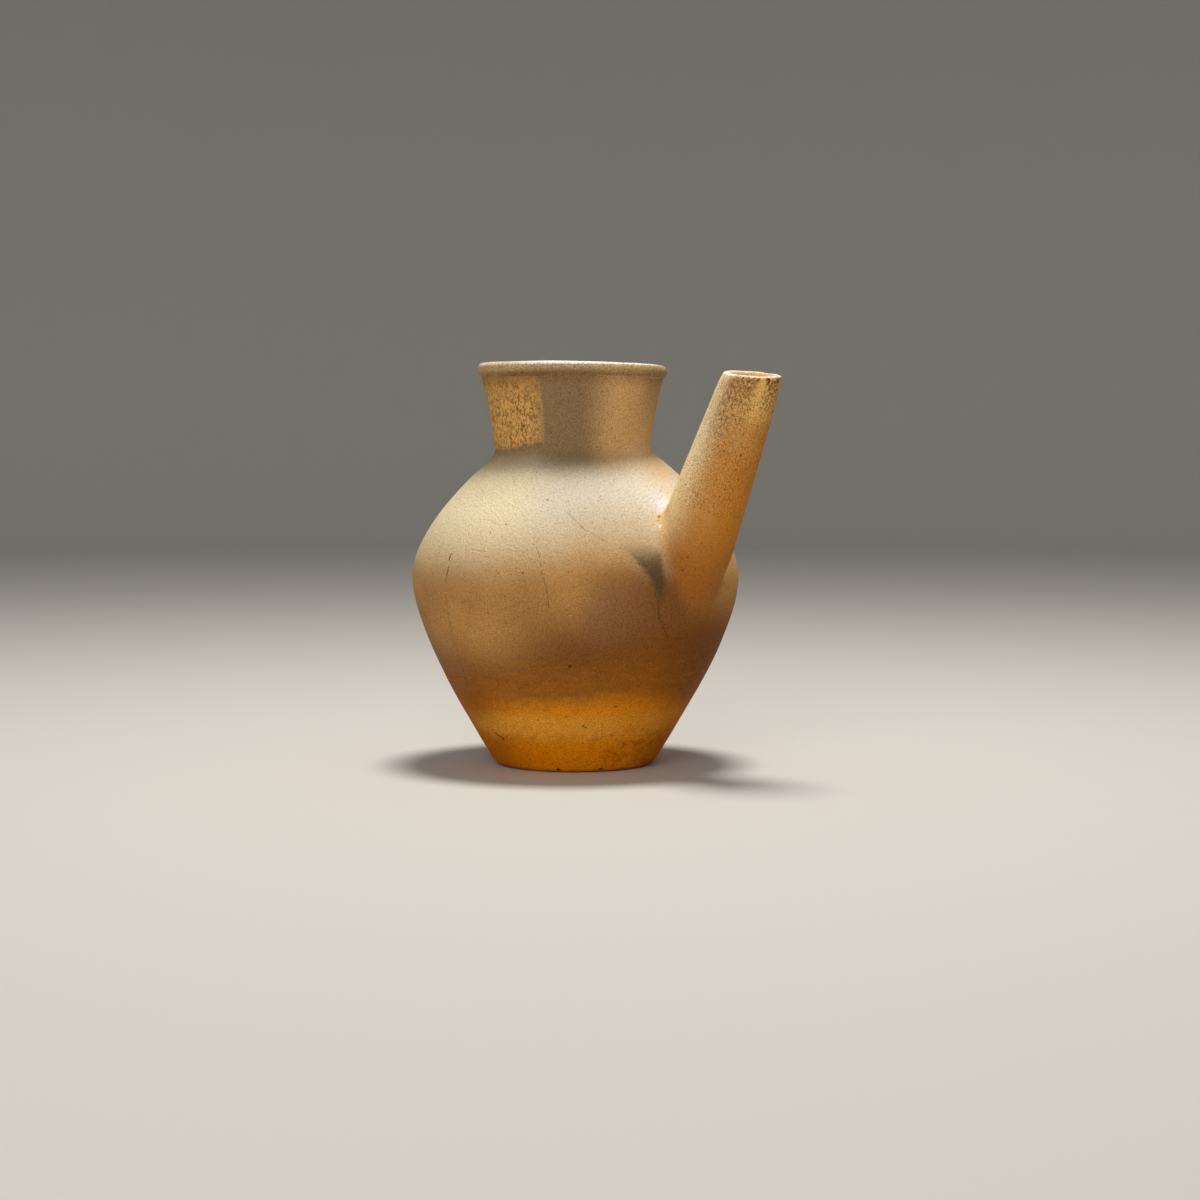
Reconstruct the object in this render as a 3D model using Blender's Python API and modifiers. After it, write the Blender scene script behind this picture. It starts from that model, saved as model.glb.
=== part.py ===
"""Feeding vessel: a round-bellied clay jar with a flaring neck, a rolled rim and a side spout.

The jar is made of thrown sections that are lapped over each other and joined with slip. The origin
is at the centre of the foot's underside, +Z is up and the spout leans out towards +X.
"""
import math

import bpy
from mathutils import Vector

MM = 0.001

# Outer wall: radii and heights
FOOT_RADIUS = 31.5 * MM
FOOT_ROUNDING = 1.6 * MM
BELLY_RADIUS = 65.4 * MM
BELLY_HEIGHT = 74.8 * MM
SHOULDER_RADIUS = 36.0 * MM
SHOULDER_HEIGHT = 120.2 * MM
NECK_RADIUS = 31.3 * MM
NECK_HEIGHT = 129.0 * MM
NECK_TOP_RADIUS = 35.9 * MM
NECK_TOP_HEIGHT = 152.9 * MM

# Outer wall: leaning angles from upright, and how far each curve is pulled along them
FOOT_FLARE = math.radians(32.8)
SHOULDER_LEAN = math.radians(-49.2)
NECK_ROOT_FLARE = math.radians(7.8)
NECK_TOP_FLARE = math.radians(13.8)
FOOT_PULL = 22.7 * MM
BELLY_PULL_DOWN = 18.6 * MM
BELLY_PULL_UP = 15.6 * MM
SHOULDER_PULL = 16.2 * MM
NECK_ROOT_PULL_DOWN = 5.8 * MM
NECK_ROOT_PULL_UP = 2.9 * MM
NECK_PULL = 8.0 * MM

# Wall and floor thickness
FOOT_WALL = 6.0 * MM
BELLY_WALL = 4.6 * MM
NECK_WALL = 3.8 * MM
FLOOR_THICKNESS = 7.0 * MM
FLOOR_START_HEIGHT = 10.0 * MM
FLOOR_FLAT_RADIUS = 22.0 * MM

# Lapped joints between the sections
BASE_JOINT_HEIGHT = 24.0 * MM
BELLY_JOINT_HEIGHT = 71.0 * MM
NECK_JOINT_HEIGHT = 123.6 * MM
LAP = 5.0 * MM
SLIP = 0.3 * MM

# Rolled rim
RIM_TOP_HEIGHT = 160.0 * MM
RIM_RADIUS = 37.75 * MM
RIM_WIDEST_HEIGHT = 157.0 * MM
RIM_LIP_RADIUS = 32.6 * MM
RIM_SEAT_DEPTH = 1.7 * MM
NECK_EDGE_HEIGHT = 157.0 * MM

# Spout: its axis runs through the belly wall and up to the mouth, in the plane of X and Z
SPOUT_ROOT = Vector((62.0, 0.0, 89.6)) * MM
SPOUT_MOUTH = Vector((89.9, 0.0, 153.5)) * MM
SPOUT_ROOT_RADIUS = 15.2 * MM
SPOUT_MOUTH_RADIUS = 11.3 * MM
SPOUT_HEEL_LENGTH = 33.0 * MM
SPOUT_OVERLENGTH = 8.0 * MM
BORE_ROOT_RADIUS = 9.4 * MM
BORE_MOUTH_RADIUS = 7.2 * MM
BORE_HEEL_LENGTH = 17.0 * MM
MOUTH_TILT = math.radians(6.0)
LIP_ROUNDING = 1.4 * MM

# Hole pierced through the shoulder into the spout
PIERCED_RADIUS = 7.6 * MM
PIERCED_HEIGHT = 89.5 * MM

# Luting: the clay fillet round the spout's root
LUTING_LEG_SIDE = 9.5 * MM
LUTING_LEG_CROTCH = 6.5 * MM
LUTING_LEG_HEEL = 9.0 * MM
LUTING_EDGE = 0.5 * MM
LUTING_OVERCUT = 2.0 * MM

# Fineness of the round shapes: steps round them, then steps along their outlines
TURN_STEPS = 48
SPOUT_STEPS = 36
PIERCED_STEPS = 24
LUTING_SECTIONS = 44
BASE_STEPS = 4
LOWER_WALL_STEPS = 9
SHOULDER_STEPS = 11
NECK_STEPS = 8
NECK_FOOT_STEPS = 2
RIM_STEPS = 4
SPOUT_LENGTH_STEPS = 4
HEEL_STEPS = 6
FILLET_STEPS = 5
ROUNDING_STEPS = 3

SPOUT_LENGTH = (SPOUT_MOUTH - SPOUT_ROOT).length
SPOUT_UP = (SPOUT_MOUTH - SPOUT_ROOT).normalized()
SPOUT_LEAN = math.atan2(SPOUT_UP.x, SPOUT_UP.z)
SPOUT_OUT = Vector((math.cos(SPOUT_LEAN), 0.0, -math.sin(SPOUT_LEAN)))
SIDEWAYS = Vector((0.0, 1.0, 0.0))


def remove_old_objects():
    for old in list(bpy.data.objects):
        bpy.data.objects.remove(old)


def new_collection(name):
    collection = bpy.data.collections.new(name)
    bpy.context.scene.collection.children.link(collection)
    return collection


def clay(name, colour, roughness):
    material = bpy.data.materials.new(name)
    material.use_nodes = True
    shader = material.node_tree.nodes["Principled BSDF"]
    shader.inputs["Base Color"].default_value = (*colour, 1.0)
    shader.inputs["Roughness"].default_value = roughness
    shader.inputs["Metallic"].default_value = 0.0
    return material


def spread(start, end, steps):
    """Evenly spaced values from start to end, both included."""
    return [start + (end - start) * i / steps for i in range(steps + 1)]


def leaning(angle):
    """Unit direction in the (radius, height) plane, leaning outwards from upright by an angle."""
    return Vector((math.sin(angle), math.cos(angle)))


def cubic(run, t):
    """Point and direction on a cubic curve given by its four control points."""
    a, b, c, d = run
    s = 1.0 - t
    point = s**3 * a + 3 * s * s * t * b + 3 * s * t * t * c + t**3 * d
    direction = s * s * (b - a) + 2 * s * t * (c - b) + t * t * (d - c)
    return point, direction


def quadratic(start, corner, end, steps):
    """Points on a curve that leaves start and reaches end in the directions of their corner."""
    return [(1 - t) ** 2 * start + 2 * t * (1 - t) * corner + t * t * end for t in spread(0, 1, steps)]


def outer_wall_runs():
    """The outer wall from foot to rim as four smoothly joined curves of (radius, height) points."""
    foot = Vector((FOOT_RADIUS, 0.0))
    belly = Vector((BELLY_RADIUS, BELLY_HEIGHT))
    shoulder = Vector((SHOULDER_RADIUS, SHOULDER_HEIGHT))
    neck = Vector((NECK_RADIUS, NECK_HEIGHT))
    top = Vector((NECK_TOP_RADIUS, NECK_TOP_HEIGHT))
    upright = leaning(0.0)
    flare = leaning(FOOT_FLARE)
    dome = leaning(SHOULDER_LEAN)
    root_flare = leaning(NECK_ROOT_FLARE)
    top_flare = leaning(NECK_TOP_FLARE)
    return [
        (foot, foot + FOOT_PULL * flare, belly - BELLY_PULL_DOWN * upright, belly),
        (belly, belly + BELLY_PULL_UP * upright, shoulder - SHOULDER_PULL * dome, shoulder),
        (shoulder, shoulder + NECK_ROOT_PULL_DOWN * dome, neck - NECK_ROOT_PULL_UP * root_flare, neck),
        (neck, neck + NECK_PULL * root_flare, top - NECK_PULL * top_flare, top),
    ]


WALL_RUNS = outer_wall_runs()


def wall_station(height):
    """Point of the outer wall at a height, and the direction straight out of the wall there."""
    run = next((r for r in WALL_RUNS if height <= r[3].y), WALL_RUNS[-1])
    low, high = 0.0, 1.0
    for _ in range(40):
        middle = (low + high) / 2
        if cubic(run, middle)[0].y < height:
            low = middle
        else:
            high = middle
    point, direction = cubic(run, low)
    return point, Vector((direction.y, -direction.x)).normalized()


def wall_thickness(height):
    """Wall thickness at a height: it thins from the foot to the belly, and on to the neck's top."""
    if height < BELLY_HEIGHT:
        return FOOT_WALL + (BELLY_WALL - FOOT_WALL) * height / BELLY_HEIGHT
    share = (height - BELLY_HEIGHT) / (NECK_TOP_HEIGHT - BELLY_HEIGHT)
    return BELLY_WALL + (NECK_WALL - BELLY_WALL) * share


def wall_point(height, share, inset=0.0):
    """Point in the wall: a share of its thickness in from the outer face, and an inset more."""
    point, outwards = wall_station(height)
    return point - (share * wall_thickness(height) + inset) * outwards


def wall_line(start, end, share, steps):
    return [wall_point(height, share) for height in spread(start, end, steps)]


def tongue(joint):
    """Top edge of a section: its inner half stands up inside the section above."""
    return [
        wall_point(joint + LAP, 0.5, SLIP / 2),
        wall_point(joint, 0.5, SLIP / 2),
    ]


def rebate(joint):
    """Bottom edge of a section: its outer half hangs over the tongue of the section below."""
    return [
        wall_point(joint + SLIP, 0.5, -SLIP / 2),
        wall_point(joint + LAP + SLIP, 0.5, -SLIP / 2),
    ]


def turned(name, profile, collection, steps=TURN_STEPS, closed=True):
    """Object turned about its own Z axis from (radius, height) points that run down its outer side."""
    edges = [(i, i + 1) for i in range(len(profile) - 1)]
    if closed:
        edges.append((len(profile) - 1, 0))
    mesh = bpy.data.meshes.new(name)
    mesh.from_pydata([(p.x, 0.0, p.y) for p in profile], edges, [])
    turned_object = bpy.data.objects.new(name, mesh)
    collection.objects.link(turned_object)
    screw = turned_object.modifiers.new("turn", 'SCREW')
    screw.steps = steps
    screw.render_steps = steps
    screw.use_merge_vertices = True
    screw.merge_threshold = 0.00001
    screw.use_smooth_shade = True
    return turned_object


def cut(piece, cutter):
    boolean = piece.modifiers.new("cut by " + cutter.name, 'BOOLEAN')
    boolean.operation = 'DIFFERENCE'
    boolean.solver = 'EXACT'
    boolean.object = cutter


def keep_as_cutter(cutter, cutters):
    """The object kept only to cut others: in the cutters' collection, as an outline."""
    for collection in cutter.users_collection:
        collection.objects.unlink(cutter)
    cutters.objects.link(cutter)
    cutter.hide_render = True
    cutter.display_type = 'WIRE'


def finish(piece, material, origin):
    piece.data.materials.append(material)
    piece.parent = origin


def base_dish(collection):
    """Floor and lowest wall, with a softly rounded foot edge and a dished inside."""
    inner_start = wall_point(FLOOR_START_HEIGHT, 1.0)
    floor_corner = Vector((inner_start.x - (inner_start.y - FLOOR_THICKNESS) * math.tan(FOOT_FLARE),
                           FLOOR_THICKNESS))
    floor_edge = Vector((FLOOR_FLAT_RADIUS, FLOOR_THICKNESS))
    foot_corner = Vector((FOOT_RADIUS, 0.0))
    foot_flat = Vector((FOOT_RADIUS - FOOT_ROUNDING, 0.0))
    profile = [Vector((0.0, FLOOR_THICKNESS))]
    profile += quadratic(floor_edge, floor_corner, inner_start, ROUNDING_STEPS)
    profile += wall_line(FLOOR_START_HEIGHT, BASE_JOINT_HEIGHT + LAP, 1.0, BASE_STEPS)[1:]
    profile += tongue(BASE_JOINT_HEIGHT)
    profile += wall_line(BASE_JOINT_HEIGHT, FOOT_ROUNDING, 0.0, BASE_STEPS)
    profile += quadratic(wall_point(FOOT_ROUNDING, 0.0), foot_corner, foot_flat, ROUNDING_STEPS)[1:]
    profile.append(Vector((0.0, 0.0)))
    return turned("base_dish", profile, collection, closed=False)


def wall_section(name, bottom, top, steps, collection):
    """Thrown ring between two lapped joints."""
    profile = wall_line(top, bottom + SLIP, 0.0, steps)
    profile += rebate(bottom)
    profile += wall_line(bottom + LAP + SLIP, top + LAP, 1.0, steps)
    profile += tongue(top)
    return turned(name, profile, collection)


def up_the_flare(point, height):
    """The point moved up along the slant of the neck's top, to a height."""
    flare = leaning(NECK_TOP_FLARE)
    return point + flare * (height - point.y) / flare.y


def neck(collection):
    """Flaring collar, with a seat cut round its top edge for the rim."""
    shelf, outwards = wall_station(NECK_TOP_HEIGHT)
    seat = shelf - RIM_SEAT_DEPTH * outwards
    inside = wall_point(NECK_TOP_HEIGHT, 1.0)
    profile = [up_the_flare(inside, NECK_EDGE_HEIGHT), up_the_flare(seat, NECK_EDGE_HEIGHT), seat]
    profile += wall_line(NECK_TOP_HEIGHT, NECK_JOINT_HEIGHT + SLIP, 0.0, NECK_STEPS)
    profile += rebate(NECK_JOINT_HEIGHT)
    profile += wall_line(NECK_JOINT_HEIGHT + LAP + SLIP, NECK_TOP_HEIGHT, 1.0, NECK_STEPS)
    return turned("neck", profile, collection)


def rim(collection):
    """Rolled bead that hooks over the neck's top edge."""
    shelf, outwards = wall_station(NECK_TOP_HEIGHT)
    foot_outside = up_the_flare(shelf, NECK_TOP_HEIGHT + SLIP)
    foot_inside = foot_outside - (RIM_SEAT_DEPTH - SLIP) * outwards
    hook = up_the_flare(foot_inside, NECK_EDGE_HEIGHT + SLIP)
    lip_foot = Vector((RIM_LIP_RADIUS, hook.y))
    crown = Vector(((RIM_LIP_RADIUS + RIM_RADIUS) / 2, RIM_TOP_HEIGHT))
    widest = Vector((RIM_RADIUS, RIM_WIDEST_HEIGHT))
    profile = quadratic(lip_foot, Vector((lip_foot.x, crown.y)), crown, RIM_STEPS)
    profile += quadratic(crown, Vector((widest.x, crown.y)), widest, RIM_STEPS)[1:]
    under_bead = Vector((widest.x, foot_outside.y + SLIP))
    profile += quadratic(widest, under_bead, foot_outside, RIM_STEPS)[1:]
    profile += [foot_inside, hook]
    return turned("rim", profile, collection)


def shoulder(collection, cutters):
    """Dome of the jar, pierced square to the wall where the spout goes on."""
    dome = wall_section("shoulder", BELLY_JOINT_HEIGHT, NECK_JOINT_HEIGHT, SHOULDER_STEPS, collection)
    centre, outwards = wall_station(PIERCED_HEIGHT)
    bpy.ops.mesh.primitive_cylinder_add(vertices=PIERCED_STEPS, radius=PIERCED_RADIUS,
                                        depth=8 * BELLY_WALL,
                                        location=(centre.x, 0.0, centre.y),
                                        rotation=(0.0, math.atan2(outwards.x, outwards.y), 0.0))
    piercer = bpy.context.object
    piercer.name = "spout_piercer"
    keep_as_cutter(piercer, cutters)
    cut(dome, piercer)
    return dome


def jar_outside(cutters):
    """Solid with the jar's outer shape, grown by the slip, that the spout and its luting sit on."""
    top = NECK_HEIGHT
    bottom = BASE_JOINT_HEIGHT
    heights = spread(top, NECK_JOINT_HEIGHT + SLIP, NECK_FOOT_STEPS)
    heights += spread(NECK_JOINT_HEIGHT, BELLY_JOINT_HEIGHT + SLIP, SHOULDER_STEPS)
    heights += spread(BELLY_JOINT_HEIGHT, bottom, LOWER_WALL_STEPS)
    profile = [wall_point(height, 0.0, -SLIP) for height in heights]
    profile = [Vector((0.0, top))] + profile + [Vector((0.0, bottom))]
    cutter = turned("jar_outside", profile, cutters, closed=False)
    keep_as_cutter(cutter, cutters)
    return cutter


def taper(along, root_radius, mouth_radius, heel_length):
    """Radius of a tapered tube with a rounded heel, at a distance along its axis from its root."""
    if along < 0.0:
        return root_radius * math.sqrt(max(0.0, 1.0 - (along / heel_length) ** 2))
    return root_radius + (mouth_radius - root_radius) * along / SPOUT_LENGTH


def spout_shape(name, root_radius, mouth_radius, heel_length, overlength, collection):
    """Tapered rod with a rounded heel, standing on the spout's axis."""
    heel = [-heel_length * math.sin(a) for a in spread(0.0, math.pi / 2, HEEL_STEPS)]
    stations = spread(SPOUT_LENGTH + overlength, 0.0, SPOUT_LENGTH_STEPS)[:-1] + heel
    profile = [Vector((taper(s, root_radius, mouth_radius, heel_length), s)) for s in stations[:-1]]
    profile = [Vector((0.0, stations[0]))] + profile + [Vector((0.0, stations[-1]))]
    rod = turned(name, profile, collection, steps=SPOUT_STEPS, closed=False)
    rod.location = SPOUT_ROOT
    rod.rotation_euler = (0.0, SPOUT_LEAN, 0.0)
    return rod


def spout(collection, cutters, jar):
    """Drinking tube: tapered, bored through, cut to a saddle on the jar, with a rounded lip."""
    tube = spout_shape("spout", SPOUT_ROOT_RADIUS, SPOUT_MOUTH_RADIUS, SPOUT_HEEL_LENGTH,
                       SPOUT_OVERLENGTH, collection)
    bore = spout_shape("spout_bore", BORE_ROOT_RADIUS, BORE_MOUTH_RADIUS, BORE_HEEL_LENGTH,
                       2 * SPOUT_OVERLENGTH, cutters)
    keep_as_cutter(bore, cutters)
    size = 8 * SPOUT_MOUTH_RADIUS
    above = Vector((math.sin(MOUTH_TILT), 0.0, math.cos(MOUTH_TILT))) * size / 2
    bpy.ops.mesh.primitive_cube_add(size=size, location=SPOUT_MOUTH + above,
                                    rotation=(0.0, MOUTH_TILT, 0.0))
    mouth = bpy.context.object
    mouth.name = "spout_mouth_cut"
    keep_as_cutter(mouth, cutters)
    cut(tube, mouth)
    lip = tube.modifiers.new("rounded lip", 'BEVEL')
    lip.width = LIP_ROUNDING
    lip.segments = ROUNDING_STEPS
    lip.limit_method = 'ANGLE'
    lip.angle_limit = math.radians(50.0)
    cut(tube, bore)
    cut(tube, jar)
    return tube


def spout_point(along, angle):
    """Point on the spout's outer face: along its axis from the root, and an angle from its underside."""
    radius = taper(along, SPOUT_ROOT_RADIUS, SPOUT_MOUTH_RADIUS, SPOUT_HEEL_LENGTH)
    return SPOUT_ROOT + along * SPOUT_UP + radius * spout_radial(angle)


def spout_radial(angle):
    return math.cos(angle) * SPOUT_OUT + math.sin(angle) * SIDEWAYS


def jar_normal(point):
    """Direction straight out of the jar's wall at the height and bearing of a point."""
    outwards = wall_station(point.z)[1]
    bearing = Vector((point.x, point.y, 0.0)).normalized()
    return Vector((bearing.x * outwards.x, bearing.y * outwards.x, outwards.y))


def on_jar(point):
    """The point moved level, straight in or out, onto the jar's outer face."""
    bearing = Vector((point.x, point.y, 0.0)).normalized()
    radius = wall_station(point.z)[0].x
    return Vector((bearing.x * radius, bearing.y * radius, point.z))


def seam_along(angle):
    """Distance along the spout's axis at which its outer face meets the jar, at an angle round it."""
    low, high = -SPOUT_HEEL_LENGTH, SPOUT_LENGTH / 2
    for _ in range(30):
        middle = (low + high) / 2
        point = spout_point(middle, angle)
        if math.hypot(point.x, point.y) < wall_station(point.z)[0].x:
            low = middle
        else:
            high = middle
    return low


def luting_leg(angle):
    """How far the fillet reaches, over the underside (0), the sides and the crotch (half a turn)."""
    facing = math.cos(angle)
    end = LUTING_LEG_HEEL if facing > 0 else LUTING_LEG_CROTCH
    return LUTING_LEG_SIDE + (end - LUTING_LEG_SIDE) * facing * facing


def luting_section(angle):
    """Outline of the fillet at an angle round the spout: a hollow curve outside, overcut inside."""
    along = seam_along(angle)
    leg = luting_leg(angle)
    seam = spout_point(along, angle)
    on_spout = spout_point(along + leg, angle)
    climb = (on_spout - seam).normalized()
    radial = spout_radial(angle)
    off_spout = (radial - radial.dot(climb) * climb).normalized()
    off_jar = jar_normal(seam)
    away = (off_spout - off_spout.dot(off_jar) * off_jar).normalized()
    at_jar = on_jar(seam + leg * away)
    jar_off = jar_normal(at_jar)
    lift = SLIP + LUTING_EDGE
    upper = on_spout + lift * off_spout
    lower = at_jar + lift * jar_off
    corner = seam + lift * (off_spout + off_jar) / (1.0 + off_spout.dot(off_jar))
    outline = quadratic(upper, corner, lower, FILLET_STEPS)
    outline.append(lower - LUTING_OVERCUT * jar_off)
    outline.append(seam - LUTING_OVERCUT * (off_spout + off_jar))
    outline.append(upper - LUTING_OVERCUT * off_spout)
    return outline


def spout_luting(collection, cutters, jar):
    """Ring of clay smoothed into the angle between the spout and the jar."""
    sections = [luting_section(2 * math.pi * i / LUTING_SECTIONS) for i in range(LUTING_SECTIONS)]
    count = len(sections[0])
    faces = []
    for i in range(LUTING_SECTIONS):
        following = (i + 1) % LUTING_SECTIONS
        for j in range(count):
            k = (j + 1) % count
            faces.append((i * count + j, i * count + k, following * count + k, following * count + j))
    mesh = bpy.data.meshes.new("spout_luting")
    mesh.from_pydata([point for section in sections for point in section], [], faces)
    mesh.shade_smooth()
    ring = bpy.data.objects.new("spout_luting", mesh)
    collection.objects.link(ring)
    spout_outside = spout_shape("spout_outside", SPOUT_ROOT_RADIUS + SLIP, SPOUT_MOUTH_RADIUS + SLIP,
                                SPOUT_HEEL_LENGTH + SLIP, SPOUT_OVERLENGTH, cutters)
    keep_as_cutter(spout_outside, cutters)
    cut(ring, spout_outside)
    cut(ring, jar)
    return ring


def feeding_vessel():
    remove_old_objects()
    vessel = new_collection("feeding_vessel")
    cutters = new_collection("feeding_vessel_cutters")
    origin = bpy.data.objects.new("foot_centre", None)
    vessel.objects.link(origin)
    jar = jar_outside(cutters)
    finish(base_dish(vessel), clay("amber_clay", (0.56, 0.27, 0.06), 0.5), origin)
    lower = wall_section("lower_wall", BASE_JOINT_HEIGHT, BELLY_JOINT_HEIGHT, LOWER_WALL_STEPS, vessel)
    finish(lower, clay("tan_clay", (0.55, 0.36, 0.18), 0.55), origin)
    finish(shoulder(vessel, cutters), clay("cream_slip", (0.66, 0.52, 0.32), 0.55), origin)
    finish(neck(vessel), clay("grey_cream_slip", (0.52, 0.42, 0.28), 0.55), origin)
    finish(rim(vessel), clay("worn_cream_slip", (0.70, 0.60, 0.44), 0.6), origin)
    finish(spout(vessel, cutters, jar), clay("ochre_clay", (0.58, 0.35, 0.13), 0.5), origin)
    finish(spout_luting(vessel, cutters, jar), clay("smoothed_clay", (0.52, 0.34, 0.17), 0.55), origin)


feeding_vessel()
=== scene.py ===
"""Looks of the feeding vessel: a hand-built jar of sandy fired clay with a side spout.

Lengths are in metres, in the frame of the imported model: the centre of the foot's underside is the
origin, +Z is up and the spout leans out towards +X. The vessel is shaped as one continuous wall, as
its maker smoothed it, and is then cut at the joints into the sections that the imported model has.
"""
import math

import bpy
from mathutils import Matrix, Vector


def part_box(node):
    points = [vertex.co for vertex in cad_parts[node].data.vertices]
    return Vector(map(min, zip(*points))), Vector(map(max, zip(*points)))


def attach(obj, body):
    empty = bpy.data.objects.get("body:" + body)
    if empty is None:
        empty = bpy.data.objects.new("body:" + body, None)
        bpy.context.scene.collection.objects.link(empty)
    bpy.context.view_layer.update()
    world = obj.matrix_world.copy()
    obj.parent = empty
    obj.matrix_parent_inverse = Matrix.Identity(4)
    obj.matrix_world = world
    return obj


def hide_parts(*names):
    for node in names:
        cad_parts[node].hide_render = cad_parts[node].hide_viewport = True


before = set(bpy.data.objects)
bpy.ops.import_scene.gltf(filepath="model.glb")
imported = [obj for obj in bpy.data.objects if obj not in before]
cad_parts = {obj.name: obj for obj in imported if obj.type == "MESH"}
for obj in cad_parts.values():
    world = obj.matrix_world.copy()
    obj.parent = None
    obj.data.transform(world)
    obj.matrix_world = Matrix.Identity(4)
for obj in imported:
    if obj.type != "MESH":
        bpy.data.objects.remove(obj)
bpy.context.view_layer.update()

MM = 0.001
DEGREE = math.pi / 180.0

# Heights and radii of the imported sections, apart from the rim, which sank a little
RIM_SUNK = 0.5 * MM
RIM_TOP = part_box("rim")[1].z - RIM_SUNK
RIM_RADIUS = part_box("rim")[1].x
BELLY_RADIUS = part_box("shoulder")[1].x
BASE_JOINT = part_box("lower_wall")[0].z
BELLY_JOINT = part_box("shoulder")[0].z
RIM_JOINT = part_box("rim")[0].z
NECK_TOP_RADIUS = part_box("neck")[1].x
SPOUT_ROOT_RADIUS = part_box("spout")[1].y

# Outer wall between them: places, angles of lean from upright, and pulls along those angles
FOOT_RADIUS = 31.5 * MM
FOOT_ROUNDING = 1.6 * MM
FOOT_FLARE = 32.8 * DEGREE
FOOT_PULL = 22.7 * MM
BELLY_HEIGHT = 74.8 * MM
BELLY_PULL_DOWN = 18.6 * MM
BELLY_PULL_UP = 15.6 * MM
SHOULDER_RADIUS = 36.0 * MM
SHOULDER_HEIGHT = 120.2 * MM
SHOULDER_LEAN = -49.2 * DEGREE
SHOULDER_PULL = 16.2 * MM
NECK_JOINT = 123.6 * MM
NECK_RADIUS = 31.3 * MM
NECK_HEIGHT = 129.0 * MM
NECK_ROOT_FLARE = 7.8 * DEGREE
NECK_ROOT_PULL_DOWN = 6.6 * MM
NECK_ROOT_PULL_UP = 3.8 * MM
NECK_TOP_FLARE = 13.8 * DEGREE
NECK_PULL = 8.0 * MM
NECK_INSIDE_RIM = (2.0 * MM, 4.0 * MM)
RUN_STEPS = (20, 16, 8, 8)

# Rolled rim
RIM_CREASE = 153.7 * MM
RIM_UNDERSIDE = 155.2 * MM
RIM_UNDERSIDE_ROUNDING = 0.4 * MM
RIM_WIDEST_HEIGHT = 156.9 * MM
RIM_LIP_RADIUS = 32.6 * MM

# Inside
FOOT_WALL = 6.0 * MM
BELLY_WALL = 4.6 * MM
NECK_WALL = 3.8 * MM
FLOOR_THICKNESS = 7.0 * MM
FLOOR_START_HEIGHT = 10.0 * MM
FLOOR_FLAT_RADIUS = 22.0 * MM
CUT_PAST_RIM = 3.0 * MM
HOLLOW_DEPTH = (1.5 * MM, 3.0 * MM)
HOLLOW_ABOVE_FOOT = (1.0 * MM, 4.0 * MM)

# Spout: its rod and its bore start at a rounded heel inside the jar
SPOUT_ROOT = Vector((62.0, 0.0, 89.6)) * MM
SPOUT_MOUTH = Vector((89.9, 0.0, 153.5)) * MM
SPOUT_MOUTH_RADIUS = 11.3 * MM
SPOUT_HEEL = 33.0 * MM
SPOUT_OVERLENGTH = 9.0 * MM
HEEL_START = 6.0 * DEGREE
HEEL_STEPS = 12
TUBE_STEPS = 24
BORE_ROOT_RADIUS = 9.4 * MM
BORE_MOUTH_RADIUS = 7.2 * MM
BORE_HEEL = 17.0 * MM
BORE_OVERLENGTH = 12.0 * MM
BORE_LIP_FLARE = 1.2 * MM
BORE_LIP_RINGS = ((-4.0, 0.0), (-2.0, 0.3), (-0.8, 0.7), (0.4, 1.3), (3.0, 1.6))
MOUTH_DRAWN_IN = 0.5 * MM
MOUTH_DRAWN_LENGTH = 12.0 * MM
MOUTH_RAISE = 0.6 * MM
MOUTH_TILT = 7.2 * DEGREE
MOUTH_ROLL = 3.6 * DEGREE
PIERCED_RADIUS = 7.6 * MM
PIERCED_HEIGHT = 89.5 * MM
PIERCED_LEAN = 61.5 * DEGREE
SPOUT_JOINT = 17.0 * MM
SPOUT_JOINT_REACH = 20.0 * MM
SPOUT_LENGTH = (SPOUT_MOUTH - SPOUT_ROOT).length
SPOUT_UP = (SPOUT_MOUTH - SPOUT_ROOT).normalized()
SPOUT_LEAN = math.atan2(SPOUT_UP.x, SPOUT_UP.z)
SPOUT_OUT = Vector((math.cos(SPOUT_LEAN), 0.0, -math.sin(SPOUT_LEAN)))
MOUTH_UP = Vector((math.sin(MOUTH_TILT), -math.sin(MOUTH_ROLL), math.cos(MOUTH_TILT))).normalized()
MOUTH_CENTRE = SPOUT_MOUTH + MOUTH_RAISE * SPOUT_UP

# Signs of the hand: the jar settled a little off its axis, and the rim tilts
SETTLE_BEARING = 42.0 * DEGREE
BELLY_SETTLE = 0.5 * MM
SHOULDER_SETTLE = 0.7 * MM
NECK_SETTLE = -0.9 * MM
RIM_TILT = 0.85 * DEGREE

# Fineness of the meshes, and how far and how often the clay is smoothed
WALL_SIDES = 160
SPOUT_SIDES = 72
CLAY_GRAIN = 1.0 * MM
SMOOTHING = 0.5
SKIN_PASSES = 4
FILLET_FROM_AXIS = 30.0 * MM
FILLET_REACH = 7.0 * MM
FILLET_PASSES = 60
LIP_FROM_AXIS = 70.0 * MM
LIP_REACH = 3.0 * MM
LIP_PASSES = 5
FOOT_KEPT_FLAT = (1.0 * MM, 9.0 * MM)
HAND_HOLLOWS = ((38.0 * MM, 0.8 * MM), (11.0 * MM, 0.16 * MM))
CRISP_EDGE = 40.0 * DEGREE
EVERYWHERE = 1.0


def deselect_all():
    bpy.ops.object.select_all(action='DESELECT')


def make_active(piece):
    deselect_all()
    piece.select_set(True)
    bpy.context.view_layer.objects.active = piece


def spread(start, end, steps):
    """Evenly spaced values from start to end, both included."""
    return [start + (end - start) * i / steps for i in range(steps + 1)]


def eased(value, start, end):
    """0 up to start, 1 from end on, and a soft step between them."""
    share = min(1.0, max(0.0, (value - start) / (end - start)))
    return share * share * (3.0 - 2.0 * share)


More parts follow.
